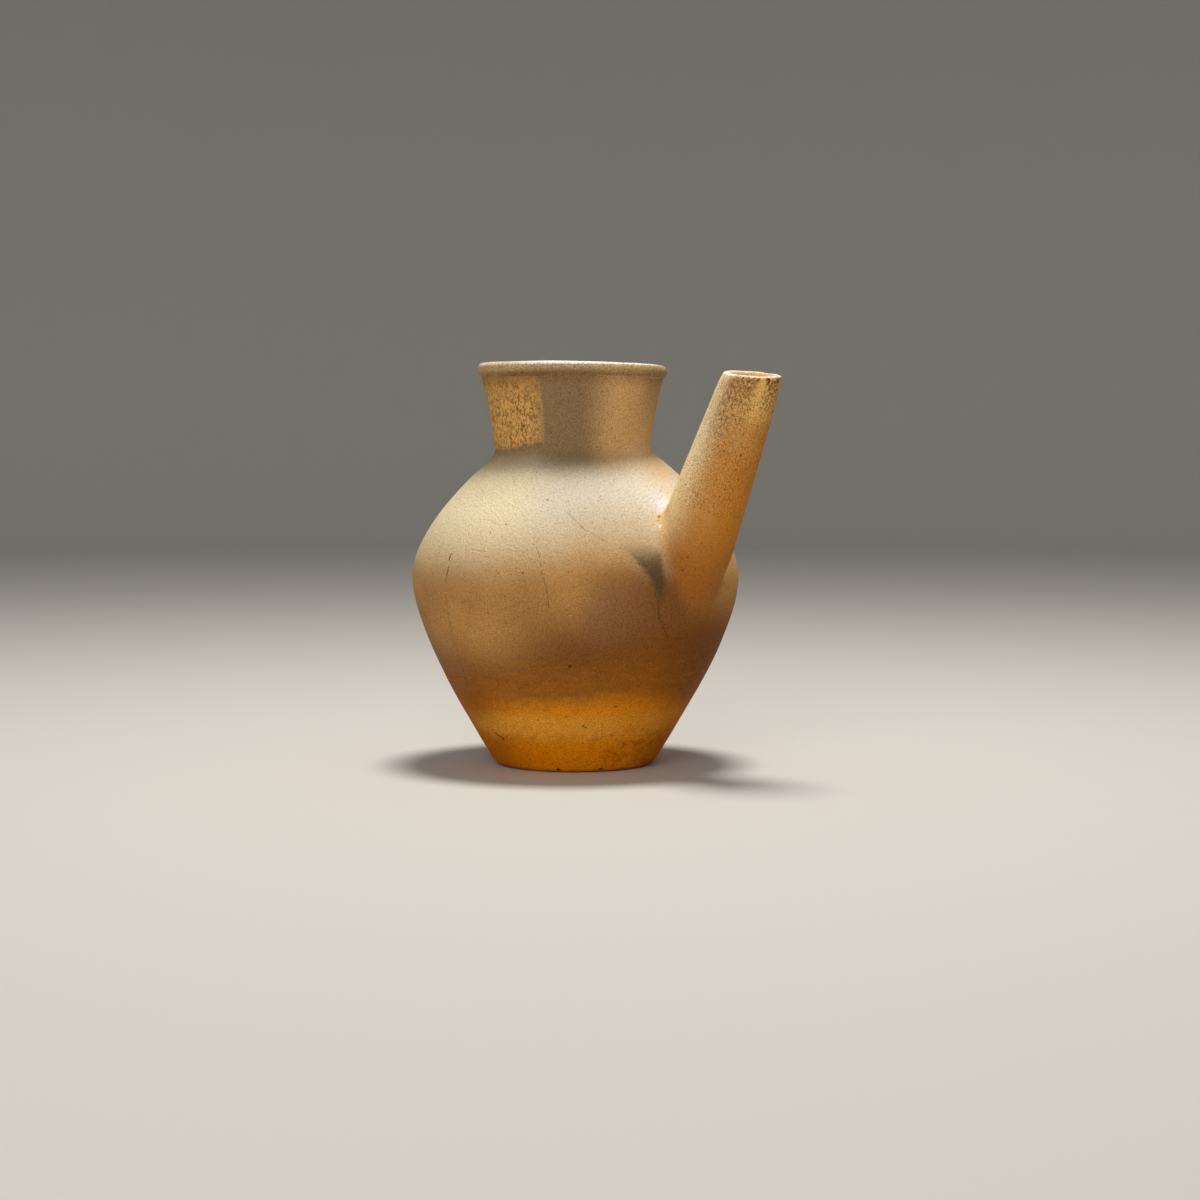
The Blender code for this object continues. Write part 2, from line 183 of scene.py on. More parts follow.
def leaning(angle):
    """Unit direction in the (radius, height) plane, leaning outwards from upright by an angle."""
    return Vector((math.sin(angle), math.cos(angle)))


def cubic(run, t):
    """Point and direction on a cubic curve given by its four control points."""
    a, b, c, d = run
    s = 1.0 - t
    point = s**3 * a + 3 * s * s * t * b + 3 * s * t * t * c + t**3 * d
    direction = s * s * (b - a) + 2 * s * t * (c - b) + t * t * (d - c)
    return point, direction


def quadratic(start, corner, end, steps):
    """Points on a curve that leaves start and reaches end in the directions of their corner."""
    return [(1 - t) ** 2 * start + 2 * t * (1 - t) * corner + t * t * end
            for t in spread(0, 1, steps)]


def wall_runs():
    """The outer wall from foot to rim as smoothly joined curves of (radius, height) points."""
    foot = Vector((FOOT_RADIUS, 0.0))
    belly = Vector((BELLY_RADIUS, BELLY_HEIGHT))
    shoulder = Vector((SHOULDER_RADIUS, SHOULDER_HEIGHT))
    neck = Vector((NECK_RADIUS, NECK_HEIGHT))
    top = Vector((NECK_TOP_RADIUS, RIM_JOINT))
    upright = leaning(0.0)
    dome = leaning(SHOULDER_LEAN)
    root_flare = leaning(NECK_ROOT_FLARE)
    return [
        (foot, foot + FOOT_PULL * leaning(FOOT_FLARE), belly - BELLY_PULL_DOWN * upright, belly),
        (belly, belly + BELLY_PULL_UP * upright, shoulder - SHOULDER_PULL * dome, shoulder),
        (shoulder, shoulder + NECK_ROOT_PULL_DOWN * dome, neck - NECK_ROOT_PULL_UP * root_flare,
         neck),
        (neck, neck + NECK_PULL * root_flare, top - NECK_PULL * leaning(NECK_TOP_FLARE), top),
    ]


def wall_thickness(height):
    """Wall thickness at a height: it thins from the foot to the belly, and on to the neck's top."""
    if height < BELLY_HEIGHT:
        return FOOT_WALL + (BELLY_WALL - FOOT_WALL) * height / BELLY_HEIGHT
    above = height - BELLY_HEIGHT
    return BELLY_WALL + (NECK_WALL - BELLY_WALL) * above / (RIM_JOINT - BELLY_HEIGHT)


def wall_line(share):
    """(radius, height) points up the wall, a share of its thickness in from the outer face."""
    line = []
    for run, steps in zip(wall_runs(), RUN_STEPS):
        for t in spread(0, 1, steps)[0 if not line else 1:]:
            point, direction = cubic(run, t)
            outwards = Vector((direction.y, -direction.x)).normalized()
            line.append(point - share * wall_thickness(point.y) * outwards)
    return line


def wall_radius(height, line=wall_line(0.0)):
    """Outer radius of the jar at a height."""
    for low, high in zip(line, line[1:]):
        if height <= high.y:
            return low.x + (high.x - low.x) * max(0.0, height - low.y) / (high.y - low.y)
    return line[-1].x


def crown():
    """Top point of the rolled rim."""
    return Vector(((RIM_LIP_RADIUS + RIM_RADIUS) / 2, RIM_TOP))


def outside_line():
    """The outer profile of foot, belly, shoulder and neck, which runs on to the rim's height."""
    line = wall_line(0.0)
    foot_up = next(p for p in line if p.y > FOOT_ROUNDING)
    foot_flat = Vector((FOOT_RADIUS - FOOT_ROUNDING, 0.0))
    profile = quadratic(foot_flat, Vector((FOOT_RADIUS, 0.0)), foot_up, 4)
    profile += [p for p in line if p.y > foot_up.y]
    return profile + [line[-1] + rise * leaning(NECK_TOP_FLARE) for rise in NECK_INSIDE_RIM]


def rim_line():
    """The rolled rim's outer profile, from the crease under its bead up to its crown."""
    top = wall_line(0.0)[-1]
    crease, fillet = (top + (z - top.y) / math.cos(NECK_TOP_FLARE) * leaning(NECK_TOP_FLARE)
                      for z in (RIM_CREASE, RIM_UNDERSIDE - RIM_UNDERSIDE_ROUNDING))
    under = Vector(((fillet.x + RIM_RADIUS) / 2, RIM_UNDERSIDE))
    widest = Vector((RIM_RADIUS, RIM_WIDEST_HEIGHT))
    profile = quadratic(crease, fillet, under, 5)
    corner = Vector((RIM_RADIUS, RIM_UNDERSIDE + RIM_UNDERSIDE_ROUNDING))
    profile += quadratic(under, corner, widest, 6)[1:]
    profile += quadratic(widest, Vector((RIM_RADIUS, RIM_TOP)), crown(), 8)[1:]
    return profile


def inside_line():
    """The hollow's profile, from the floor up through the neck and out over the lip's inner edge."""
    line = wall_line(1.0)
    start = next(p for p in line if p.y > FLOOR_START_HEIGHT)
    corner = Vector((start.x - (start.y - FLOOR_THICKNESS) * math.tan(FOOT_FLARE), FLOOR_THICKNESS))
    profile = quadratic(Vector((FLOOR_FLAT_RADIUS, FLOOR_THICKNESS)), corner, start, 4)
    profile += [p for p in line if start.y < p.y < RIM_JOINT]
    lip_foot = Vector((RIM_LIP_RADIUS, RIM_WIDEST_HEIGHT))
    profile += quadratic(lip_foot, Vector((lip_foot.x, RIM_TOP)), crown(), 6)
    profile.append(crown() + Vector((0.0, CUT_PAST_RIM)))
    return profile


def settled(point):
    """Centre and lean of the ring at a profile point, moved as the jar settled."""
    shift = BELLY_SETTLE * eased(point.y, 0.0, BELLY_HEIGHT)
    shift += (SHOULDER_SETTLE - BELLY_SETTLE) * eased(point.y, BELLY_HEIGHT, SHOULDER_HEIGHT)
    shift += (NECK_SETTLE - SHOULDER_SETTLE) * eased(point.y, SHOULDER_HEIGHT, NECK_HEIGHT)
    return Vector((shift, 0.0, point.y)), RIM_TILT * eased(point.y, NECK_HEIGHT, RIM_JOINT)


def on_wall(bearing, height):
    """Point on the jar's outer face, as it settled."""
    turn = bearing - SETTLE_BEARING
    reach = wall_radius(height)
    centre = settled(Vector((0.0, height)))[0]
    across = Vector((centre.x + reach * math.cos(turn), reach * math.sin(turn)))
    across.rotate(Matrix.Rotation(SETTLE_BEARING, 2))
    return Vector((across.x, across.y, height))


def on_spout(along, around):
    """Point on the spout's outer face."""
    across = math.cos(around) * SPOUT_OUT + Vector((0.0, math.sin(around), 0.0))
    reach = taper(along, SPOUT_ROOT_RADIUS, SPOUT_MOUTH_RADIUS, SPOUT_HEEL)
    return SPOUT_ROOT + along * SPOUT_UP + reach * across


def drawn_up(name, rings, sides):
    """A closed solid drawn up from a disc, ring by ring, each with a centre, a radius and a lean."""
    deselect_all()
    centre, radius, lean = rings[0]
    bpy.ops.mesh.primitive_circle_add(vertices=sides, radius=radius, fill_type='NGON',
                                      location=centre, rotation=(0.0, lean, 0.0))
    solid = bpy.context.object
    solid.name = name
    bpy.ops.object.transform_apply(location=True, rotation=True, scale=True)
    bpy.ops.object.mode_set(mode='EDIT')
    bpy.ops.mesh.select_all(action='SELECT')
    for (old_centre, old_radius, old_lean), (centre, radius, lean) in zip(rings, rings[1:]):
        bpy.ops.mesh.extrude_region_move(TRANSFORM_OT_translate={"value": centre - old_centre})
        bpy.ops.transform.resize(value=(radius / old_radius,) * 3, center_override=centre)
        if abs(lean - old_lean) > 1e-9:
            bpy.ops.transform.rotate(value=old_lean - lean, orient_axis='Y', center_override=centre)
    bpy.ops.mesh.select_all(action='SELECT')
    bpy.ops.mesh.normals_make_consistent(inside=False)
    bpy.ops.object.mode_set(mode='OBJECT')
    return solid


def jar_solid(name, profile):
    """Solid of a profile turned on the jar's axis, with the jar's settling."""
    rings = []
    for point in profile:
        centre, lean = settled(point)
        rings.append((centre, point.x, lean))
    solid = drawn_up(name, rings, WALL_SIDES)
    solid.rotation_euler.z = SETTLE_BEARING
    bpy.ops.object.transform_apply(location=True, rotation=True, scale=True)
    return solid


def taper(along, root_radius, mouth_radius, heel):
    """Radius of a tapered tube with a rounded heel, at a distance along its axis from its root."""
    if along < 0.0:
        return root_radius * math.sqrt(max(0.0, 1.0 - (along / heel) ** 2))
    drawn_in = MOUTH_DRAWN_IN * eased(along, SPOUT_LENGTH - MOUTH_DRAWN_LENGTH, SPOUT_LENGTH)
    return root_radius + (mouth_radius - root_radius) * along / SPOUT_LENGTH - drawn_in


def spout_rod(name, root_radius, mouth_radius, heel, top):
    """Tapered rod with a rounded heel on the spout's axis."""
    stations = [-heel * math.cos(a) for a in spread(HEEL_START, 90 * DEGREE, HEEL_STEPS)]
    stations += spread(0.0, top, TUBE_STEPS)[1:]
    rings = [(Vector((0.0, 0.0, s)), taper(s, root_radius, mouth_radius, heel), 0.0)
             for s in stations]
    rod = drawn_up(name, rings, SPOUT_SIDES)
    rod.location = SPOUT_ROOT
    rod.rotation_euler.y = SPOUT_LEAN
    bpy.ops.object.transform_apply(location=True, rotation=True, scale=True)
    return rod


def apply_modifier(piece, kind, **settings):
    make_active(piece)
    modifier = piece.modifiers.new(kind.lower(), kind)
    for setting, value in settings.items():
        setattr(modifier, setting, value)
    bpy.ops.object.modifier_apply(modifier=modifier.name)


def combine(piece, other, operation):
    """The piece joined with, or cut by, another solid, which is used up."""
    apply_modifier(piece, 'BOOLEAN', operation=operation, solver='EXACT', object=other)
    bpy.data.objects.remove(other)


def trim_mouth(rod):
    """The rod cut off at the spout's mouth, with the mouth's slight tilt."""
    make_active(rod)
    bpy.ops.object.mode_set(mode='EDIT')
    bpy.ops.mesh.select_all(action='SELECT')
    bpy.ops.mesh.bisect(plane_co=MOUTH_CENTRE, plane_no=MOUTH_UP, use_fill=True, clear_outer=True)
    bpy.ops.object.mode_set(mode='OBJECT')


def pierced_hole():
    """Rod square to the wall, where the shoulder is pierced into the spout."""
    deselect_all()
    outwards = Vector((math.sin(PIERCED_LEAN), 0.0, math.cos(PIERCED_LEAN)))
    centre = Vector((wall_radius(PIERCED_HEIGHT), 0.0, PIERCED_HEIGHT)) - BELLY_WALL * outwards
    bpy.ops.mesh.primitive_cylinder_add(vertices=SPOUT_SIDES, radius=PIERCED_RADIUS,
                                        depth=5 * BELLY_WALL, location=centre,
                                        rotation=(0.0, PIERCED_LEAN, 0.0))
    hole = bpy.context.object
    bpy.ops.object.transform_apply(location=True, rotation=True, scale=True)
    return hole


def bore_lip():
    """Short flared plug that rounds the inner edge of the spout's mouth."""
    rings = [(MOUTH_CENTRE + s * MM * SPOUT_UP, BORE_MOUTH_RADIUS + wide * BORE_LIP_FLARE, 0.0)
             for s, wide in BORE_LIP_RINGS]
    return drawn_up("bore_lip", rings, SPOUT_SIDES)


def depth_under_wall(place):
    """How far a point lies inside the jar's outer face."""
    return wall_radius(place.z) - math.hypot(place.x, place.y)


def depth_under_spout(place):
    """How far a point lies inside the spout's outer face."""
    along = (place - SPOUT_ROOT).dot(SPOUT_UP)
    off_axis = (place - SPOUT_ROOT - along * SPOUT_UP).length
    return taper(along, SPOUT_ROOT_RADIUS, SPOUT_MOUTH_RADIUS, SPOUT_HEEL) - off_axis


def smooth_fillet(skin):
    """The crease round the spout's root, wiped into a soft fillet of clay."""
    crease = skin.vertex_groups.new(name="crease")
    for vertex in skin.data.vertices:
        if vertex.co.x > FILLET_FROM_AXIS:
            off = max(abs(depth_under_wall(vertex.co)), abs(depth_under_spout(vertex.co)))
            if off < FILLET_REACH:
                crease.add([vertex.index], (1.0 - off / FILLET_REACH) ** 0.5, 'REPLACE')
    apply_modifier(skin, 'SMOOTH', factor=SMOOTHING, iterations=FILLET_PASSES,
                   vertex_group=crease.name)


def soften_lip(skin):
    """The spout's mouth, worn round at its edges."""
    lip = skin.vertex_groups.new(name="lip")
    for vertex in skin.data.vertices:
        level = (vertex.co - MOUTH_CENTRE).dot(MOUTH_UP)
        if vertex.co.x > LIP_FROM_AXIS and level > -LIP_REACH:
            lip.add([vertex.index], eased(level, -LIP_REACH, -LIP_REACH / 3), 'REPLACE')
    apply_modifier(skin, 'SMOOTH', factor=SMOOTHING, iterations=LIP_PASSES, vertex_group=lip.name)


def uneven_hand(skin):
    """Soft hollows and ripples left by the maker's hands, on all but the foot."""
    above_foot = skin.vertex_groups.new(name="above_foot")
    for vertex in skin.data.vertices:
        above_foot.add([vertex.index], eased(vertex.co.z, *FOOT_KEPT_FLAT), 'REPLACE')
    for size, depth in HAND_HOLLOWS:
        clouds = bpy.data.textures.new("hollows", 'CLOUDS')
        clouds.noise_scale = size
        apply_modifier(skin, 'DISPLACE', texture=clouds, strength=depth, mid_level=0.5,
                       texture_coords='LOCAL', vertex_group=above_foot.name)


def mark_hollow(skin):
    """An attribute that is 1 on the inside faces and 0 outside, for the paint."""
    hollow = skin.data.attributes.new("hollow", 'FLOAT', 'POINT')
    for vertex, mark in zip(skin.data.vertices, hollow.data):
        depth = max(depth_under_wall(vertex.co), depth_under_spout(vertex.co))
        mark.value = eased(depth, *HOLLOW_DEPTH) * eased(vertex.co.z, *HOLLOW_ABOVE_FOOT)


def one_piece_vessel():
    """The whole vessel as one fine mesh of clay."""
    skin = jar_solid("fired_vessel", outside_line())
    spout = spout_rod("spout_rod", SPOUT_ROOT_RADIUS, SPOUT_MOUTH_RADIUS, SPOUT_HEEL,
                      SPOUT_LENGTH + SPOUT_OVERLENGTH)
    trim_mouth(spout)
    combine(skin, spout, 'UNION')
    combine(skin, jar_solid("hollow", inside_line()), 'DIFFERENCE')
    combine(skin, pierced_hole(), 'DIFFERENCE')
    bore = spout_rod("bore", BORE_ROOT_RADIUS, BORE_MOUTH_RADIUS, BORE_HEEL,
                     SPOUT_LENGTH + BORE_OVERLENGTH)
    combine(skin, bore, 'DIFFERENCE')
    combine(skin, bore_lip(), 'DIFFERENCE')
    apply_modifier(skin, 'REMESH', mode='VOXEL', voxel_size=CLAY_GRAIN)
    apply_modifier(skin, 'SMOOTH', factor=SMOOTHING, iterations=SKIN_PASSES)
    smooth_fillet(skin)
    soften_lip(skin)
    mark_hollow(skin)
    uneven_hand(skin)
    make_active(skin)
    bpy.ops.object.shade_smooth()
    return skin


def rolled_rim():
    """The rim's bead, turned on its own so that the crease under it stays crisp."""
    rim = jar_solid("fired_rim", rim_line())
    combine(rim, jar_solid("rim_hollow", inside_line()), 'DIFFERENCE')
    apply_modifier(rim, 'TRIANGULATE', min_vertices=5)
    apply_modifier(rim, 'SUBSURF', subdivision_type='SIMPLE', levels=1, render_levels=1)
    mark_hollow(rim)
    uneven_hand(rim)
    make_active(rim)
    bpy.ops.object.shade_smooth()
    return rim


def select_beyond(piece, point, normal, near):
    """Selects, in edit mode, the faces beyond a plane, within a distance of a point on it."""
    bpy.ops.mesh.select_mode(type='FACE')
    bpy.ops.mesh.select_all(action='DESELECT')
    bpy.ops.object.mode_set(mode='OBJECT')
    for face in piece.data.polygons:
        away = face.center - point
        face.select = away.dot(normal) > 0.0 and (away - away.dot(normal) * normal).length < near
    bpy.ops.object.mode_set(mode='EDIT')


def close_cut(piece):
    """The open edges of a cut wall bridged from its outer to its inner face."""
    make_active(piece)
    bpy.ops.object.mode_set(mode='EDIT')
    bpy.ops.mesh.select_mode(type='EDGE')
    bpy.ops.mesh.select_all(action='DESELECT')
    bpy.ops.mesh.select_non_manifold(extend=False, use_wire=False, use_boundary=True,
                                     use_multi_face=False, use_non_contiguous=False, use_verts=False)
    bpy.ops.mesh.bridge_edge_loops()
    bpy.ops.object.mode_set(mode='OBJECT')


def cut_off(piece, name, point, normal, near=EVERYWHERE):
    """The part of a piece beyond a plane, cut off as a piece of its own."""
    make_active(piece)
    bpy.ops.object.mode_set(mode='EDIT')
    select_beyond(piece, point - 3 * CLAY_GRAIN * normal, normal, near)
    bpy.ops.mesh.bisect(plane_co=point, plane_no=normal)
    select_beyond(piece, point, normal, near)
    bpy.ops.mesh.separate(type='SELECTED')
    bpy.ops.object.mode_set(mode='OBJECT')
    off = next(o for o in bpy.context.selected_objects if o is not piece)
    off.name = name
    close_cut(piece)
    close_cut(off)
    return off


def sections(vessel):
    """The vessel cut at its joints, as {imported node: piece}."""
    up = Vector((0.0, 0.0, 1.0))
    rim_up = Vector((math.sin(RIM_TILT) * math.cos(SETTLE_BEARING),
                     math.sin(RIM_TILT) * math.sin(SETTLE_BEARING), math.cos(RIM_TILT)))
    spout_joint = SPOUT_ROOT + SPOUT_JOINT * SPOUT_UP
    cut = {"spout": cut_off(vessel, "fired_spout", spout_joint, SPOUT_UP, SPOUT_JOINT_REACH)}
    spare = cut_off(vessel, "above_crease", up * RIM_CREASE, rim_up)
    bpy.data.objects.remove(spare)
    cut["rim"] = rolled_rim()
    cut["neck"] = cut_off(vessel, "fired_neck", up * NECK_JOINT, up)
    cut["shoulder"] = cut_off(vessel, "fired_shoulder", up * BELLY_JOINT, up)
    cut["lower_wall"] = cut_off(vessel, "fired_lower_wall", up * BASE_JOINT, up)
    vessel.name = "fired_base_dish"
    cut["base_dish"] = vessel
    return cut


# Clay, slip and stain colours, and the colours of painted glow, shade and highlights, as linear base
# colours
CREAM = (0.67, 0.585, 0.46)
PALE_CREAM = (0.765, 0.69, 0.55)
WARM_CREAM = (0.81, 0.685, 0.455)
SAND = (0.60, 0.43, 0.23)
TAN = (0.50, 0.25, 0.075)
UMBER = (0.188, 0.070, 0.016)
RUSSET = (0.232, 0.076, 0.008)
DARK_RUSSET = (0.12, 0.034, 0.001)
RED_GRIT = (0.17, 0.026, 0.002)
# Painted glow of light through the thin wall at the foot
AMBER_GLOW = (0.82, 0.255, 0.001)
GOLD = (0.78, 0.275, 0.009)
HONEY = (0.82, 0.355, 0.040)
# Dimmer painted glow, at the edges of the foot's glow
DIM_AMBER_GLOW = (0.53, 0.152, 0.001)
GREY_CLAY = (0.285, 0.182, 0.090)
DUSK = (0.22, 0.12, 0.072)
ASH = (0.62, 0.49, 0.35)
WARM_GREY = (0.66, 0.405, 0.165)
OCHRE = (0.58, 0.248, 0.050)
RED_OCHRE = (0.54, 0.192, 0.015)
PALE_OCHRE = (0.95, 0.73, 0.37)
LIT_OCHRE = (0.70, 0.365, 0.11)
STRAW = (0.84, 0.49, 0.155)
BROWN_OCHRE = (0.37, 0.13, 0.018)
# Brown of flaked slip, also used for painted shade under the rim's bead
FLAKE_AND_SHADE_BROWN = (0.20, 0.095, 0.036)
# Grey of painted shade
SHADE_GREY = (0.10, 0.064, 0.031)
PIT = (0.06, 0.031, 0.012)
DRIP = (0.12, 0.05, 0.011)
# Pale white, partly painted light, for the upper back of the spout
PALE_AND_LIT_WHITE = (0.86, 0.80, 0.68)
# Bare clay, and the white of painted highlights on the rim's crown and in the crook of the spout
BARE_CLAY_AND_HIGHLIGHT = (0.93, 0.90, 0.86)
# White of a painted highlight
HIGHLIGHT_WHITE = (0.75, 0.755, 0.82)
RESIDUE = (0.20, 0.10, 0.035)
INSIDE = (0.50, 0.27, 0.09)
MOTTLED_TAN = (tuple(0.92 * c for c in TAN), tuple(1.08 * c for c in TAN))


class Paint:
    """Adds nodes to one tree. What goes into a node is a plain value or another node's output."""

    def __init__(self, tree):
        self.tree = tree

    def feed(self, socket, value):
        if isinstance(value, bpy.types.NodeSocket):
            self.tree.links.new(value, socket)
        elif socket.type == 'RGBA':
            socket.default_value = (*value, 1.0)
        else:
            socket.default_value = value

    def node(self, kind, *values, **settings):
        """A node with settings, its first inputs fed in order."""
        new = self.tree.nodes.new(kind)
        for setting, value in settings.items():
            setattr(new, setting, value)
        for socket, value in zip(new.inputs, values):
            self.feed(socket, value)
        return new

    def math(self, operation, *values):
        return self.node('ShaderNodeMath', *values, operation=operation).outputs[0]

    def times(self, first, *others):
        for other in others:
            first = self.math('MULTIPLY', first, other)
        return first

    def plus(self, first, *others):
        for other in others:
            first = self.math('ADD', first, other)
        return first

    def minus(self, a, b):
        return self.math('SUBTRACT', a, b)

    def highest(self, a, b):
        return self.math('MAXIMUM', a, b)

    def off(self, value, middle):
        """How far a value is from a middle one, either way."""
        return self.math('ABSOLUTE', self.minus(value, middle))

    def vector(self, operation, a, b):
        """Vector arithmetic: a vector, or for a dot product or a distance a number."""
        outputs = self.node('ShaderNodeVectorMath', a, b, operation=operation).outputs
        return outputs["Value" if operation in ('DOT_PRODUCT', 'DISTANCE') else "Vector"]

    def rise(self, value, low, high):
        """0 up to low, 1 from high on, soft between. With low above high it falls instead."""
        step = self.node('ShaderNodeMapRange', interpolation_type='SMOOTHSTEP')
        for name, given in (("Value", value), ("From Min", low), ("From Max", high)):
            self.feed(step.inputs[name], given)
        return step.outputs["Result"]

    def between(self, value, low, high, soft):
        """1 between two values and 0 outside them, with soft ends of a width."""
        return self.times(self.rise(value, low - soft, low + soft),
                          self.rise(value, high + soft, high - soft))

    def facing(self, angle, towards, low, high):
        """Rises where an angle in degrees nears another: low and high are cosines of how near."""
        apart = self.math('RADIANS', self.minus(angle, towards))
        return self.rise(self.math('COSINE', apart), low, high)

    def mix(self, share, a, b, blend='MIX'):
        mixer = self.node('ShaderNodeMix', data_type='RGBA', blend_type=blend)
        for socket, value in ((mixer.inputs[0], share), (mixer.inputs[6], a), (mixer.inputs[7], b)):
            self.feed(socket, value)
        return mixer.outputs[2]

    def noise(self, position, size, detail=2.0, roughness=0.5):
        """Cloudy values around 0.5, with features of about a size in metres."""
        cloud = self.node('ShaderNodeTexNoise')
        for name, value in (("Vector", position), ("Scale", 1.0 / size), ("Detail", detail),
                            ("Roughness", roughness)):
            self.feed(cloud.inputs[name], value)
        return cloud.outputs["Fac"]

    def drift(self, position, size, reach, detail=3.0):
        """Wandering values from about minus to plus half a reach."""
        return self.times(self.minus(self.noise(position, size, detail, 0.6), 0.5), reach)

    def group(self, tree, **values):
        """A placed group, with its inputs fed by name."""
        new = self.node('ShaderNodeGroup', node_tree=tree)
        for name, value in values.items():
            self.feed(new.inputs[name.replace("_", " ")], value)
        return new.outputs


def new_group(name, inputs, outputs):
    """An empty shader node group that takes a position and named numbers: its paint, inputs and outputs."""
    tree = bpy.data.node_groups.new(name, 'ShaderNodeTree')
    for socket, kind in {"Position": 'Vector', **inputs}.items():
        tree.interface.new_socket(name=socket, in_out='INPUT', socket_type='NodeSocket' + kind)
    for socket, kind in outputs.items():
        tree.interface.new_socket(name=socket, in_out='OUTPUT', socket_type='NodeSocket' + kind)
    given, out = tree.nodes.new('NodeGroupInput'), tree.nodes.new('NodeGroupOutput')
    return Paint(tree), given.outputs, out.inputs


def numbers(*names):
    """Sockets that hold plain numbers."""
    return {name: 'Float' for name in names}


def place_group():
    """Where a point lies: millimetres up the jar and degrees round it from the spout, and likewise
    millimetres along the spout, degrees round it from its underside and millimetres off its face."""
    paint, given, out = new_group("place on the vessel", {},
                                  numbers("Height", "Bearing", "Along", "Around", "Off Spout"))
    position = given["Position"]
    apart = paint.node('ShaderNodeSeparateXYZ', position).outputs
    paint.feed(out["Height"], paint.times(apart["Z"], 1 / MM))
    paint.feed(out["Bearing"], paint.math('DEGREES', paint.math('ARCTAN2', apart["Y"], apart["X"])))
    from_root = paint.vector('SUBTRACT', position, SPOUT_ROOT)
    along = paint.vector('DOT_PRODUCT', from_root, SPOUT_UP)
    outward = paint.vector('DOT_PRODUCT', from_root, SPOUT_OUT)
    paint.feed(out["Along"], paint.times(along, 1 / MM))
    paint.feed(out["Around"], paint.math('DEGREES', paint.math('ARCTAN2', apart["Y"], outward)))
    off_axis = paint.math('SQRT', paint.plus(paint.times(outward, outward),
                                             paint.times(apart["Y"], apart["Y"])))
    heel = paint.math('DIVIDE', paint.math('MINIMUM', along, 0.0), SPOUT_HEEL)
    heel = paint.math('SQRT', paint.highest(paint.minus(1.0, paint.times(heel, heel)), 0.0))
    slimming = (SPOUT_ROOT_RADIUS - SPOUT_MOUTH_RADIUS) / SPOUT_LENGTH
    radius = paint.minus(paint.times(heel, SPOUT_ROOT_RADIUS),
                         paint.times(paint.highest(along, 0.0), slimming))
    paint.feed(out["Off Spout"], paint.times(paint.minus(off_axis, radius), 1 / MM))
    return paint.tree


# Fine and coarse grit: spacing, how many of its places it takes, least size and spread of sizes
GRIT = ((0.9 * MM, 1.0, 0.15, 0.20), (4.0 * MM, 0.35, 0.06, 0.08))


def grain_group():
    """Sandy clay: soft mottling, fine grain, dust, and dark specks of grit in a share of the places
    they could be."""
    paint, given, out = new_group("sandy grain", numbers("Speck Share", "Speck Size"),
                                  numbers("Mottle", "Grain", "Dust", "Specks"))
    position = given["Position"]
    paint.feed(out["Mottle"], paint.noise(position, 17 * MM, 4.0, 0.55))
    paint.feed(out["Grain"], paint.noise(position, 1.1 * MM, 3.0, 0.8))
    paint.feed(out["Dust"], paint.noise(position, 0.48 * MM, 2.0, 0.8))
    crowd = paint.rise(paint.noise(position, 9 * MM, 3.0), 0.25, 0.65)
    clustered = paint.times(given["Speck Share"], crowd)
    specks = None
    for spacing, share, least, spread_of_sizes in GRIT:
        grit = paint.node('ShaderNodeTexVoronoi', feature='F1')
        paint.feed(grit.inputs["Vector"], position)
        paint.feed(grit.inputs["Scale"], 1 / spacing)
        chance = paint.node('ShaderNodeSeparateColor', grit.outputs["Color"]).outputs
        chosen = paint.rise(paint.minus(chance[0], paint.times(clustered, share)), 0.02, -0.02)
        size = paint.plus(paint.times(chance[1], chance[1], spread_of_sizes), least)
        reach = paint.times(size, given["Speck Size"])
        dot = paint.rise(paint.math('DIVIDE', grit.outputs["Distance"], reach), 1.25, 0.6)
        dot = paint.times(dot, chosen, paint.plus(paint.times(chance[2], 0.75), 0.25))
        specks = dot if specks is None else paint.highest(specks, dot)
    paint.feed(out["Specks"], specks)
    return paint.tree


def crack_group():
    """Hairline crack that runs up or down the wall from one bearing and height to another."""
    sockets = numbers("Bearing", "Height", "From Bearing", "From Height", "To Bearing", "To Height",
                      "Wander", "Width", "Breaks")
    paint, given, out = new_group("hairline crack", sockets, numbers("Line"))
    position, breaks = given["Position"], given["Breaks"]
    run = paint.math('DIVIDE', paint.minus(given["Height"], given["From Height"]),
                     paint.minus(given["To Height"], given["From Height"]))
    turn = paint.minus(given["To Bearing"], given["From Bearing"])
    middle = paint.plus(given["From Bearing"], paint.times(run, turn))
    up_only = paint.vector('MULTIPLY', position, (0.12, 0.12, 1.0))
    middle = paint.plus(middle, paint.times(paint.drift(up_only, 4.5 * MM, 1.0), given["Wander"]))
    thick = paint.times(given["Width"], paint.plus(paint.noise(position, 1.5 * MM), 0.4))
    line = paint.rise(paint.off(given["Bearing"], middle), thick, paint.times(thick, 0.25))
    ends = paint.times(paint.rise(run, -0.005, 0.02), paint.rise(run, 1.005, 0.97))
    gaps = paint.rise(paint.noise(position, 2.4 * MM, 2.0, 0.6),
                      paint.minus(breaks, 0.05), paint.plus(breaks, 0.05))
    paint.feed(out["Line"], paint.times(line, ends, gaps))
    return paint.tree


def spot_group():
    """Small spot at a point, with an uneven edge that is soft over a share of its radius."""
    paint, given, out = new_group("spot", {"Centre": 'Vector', **numbers("Radius", "Softness")},
                                  numbers("Mask"))
    away = paint.vector('DISTANCE', given["Position"], given["Centre"])
    away = paint.plus(away, paint.drift(given["Position"], 1.1 * MM, 0.9 * MM))
    core = paint.times(given["Radius"], paint.minus(1.0, given["Softness"]))
    paint.feed(out["Mask"], paint.rise(away, given["Radius"], core))
    return paint.tree


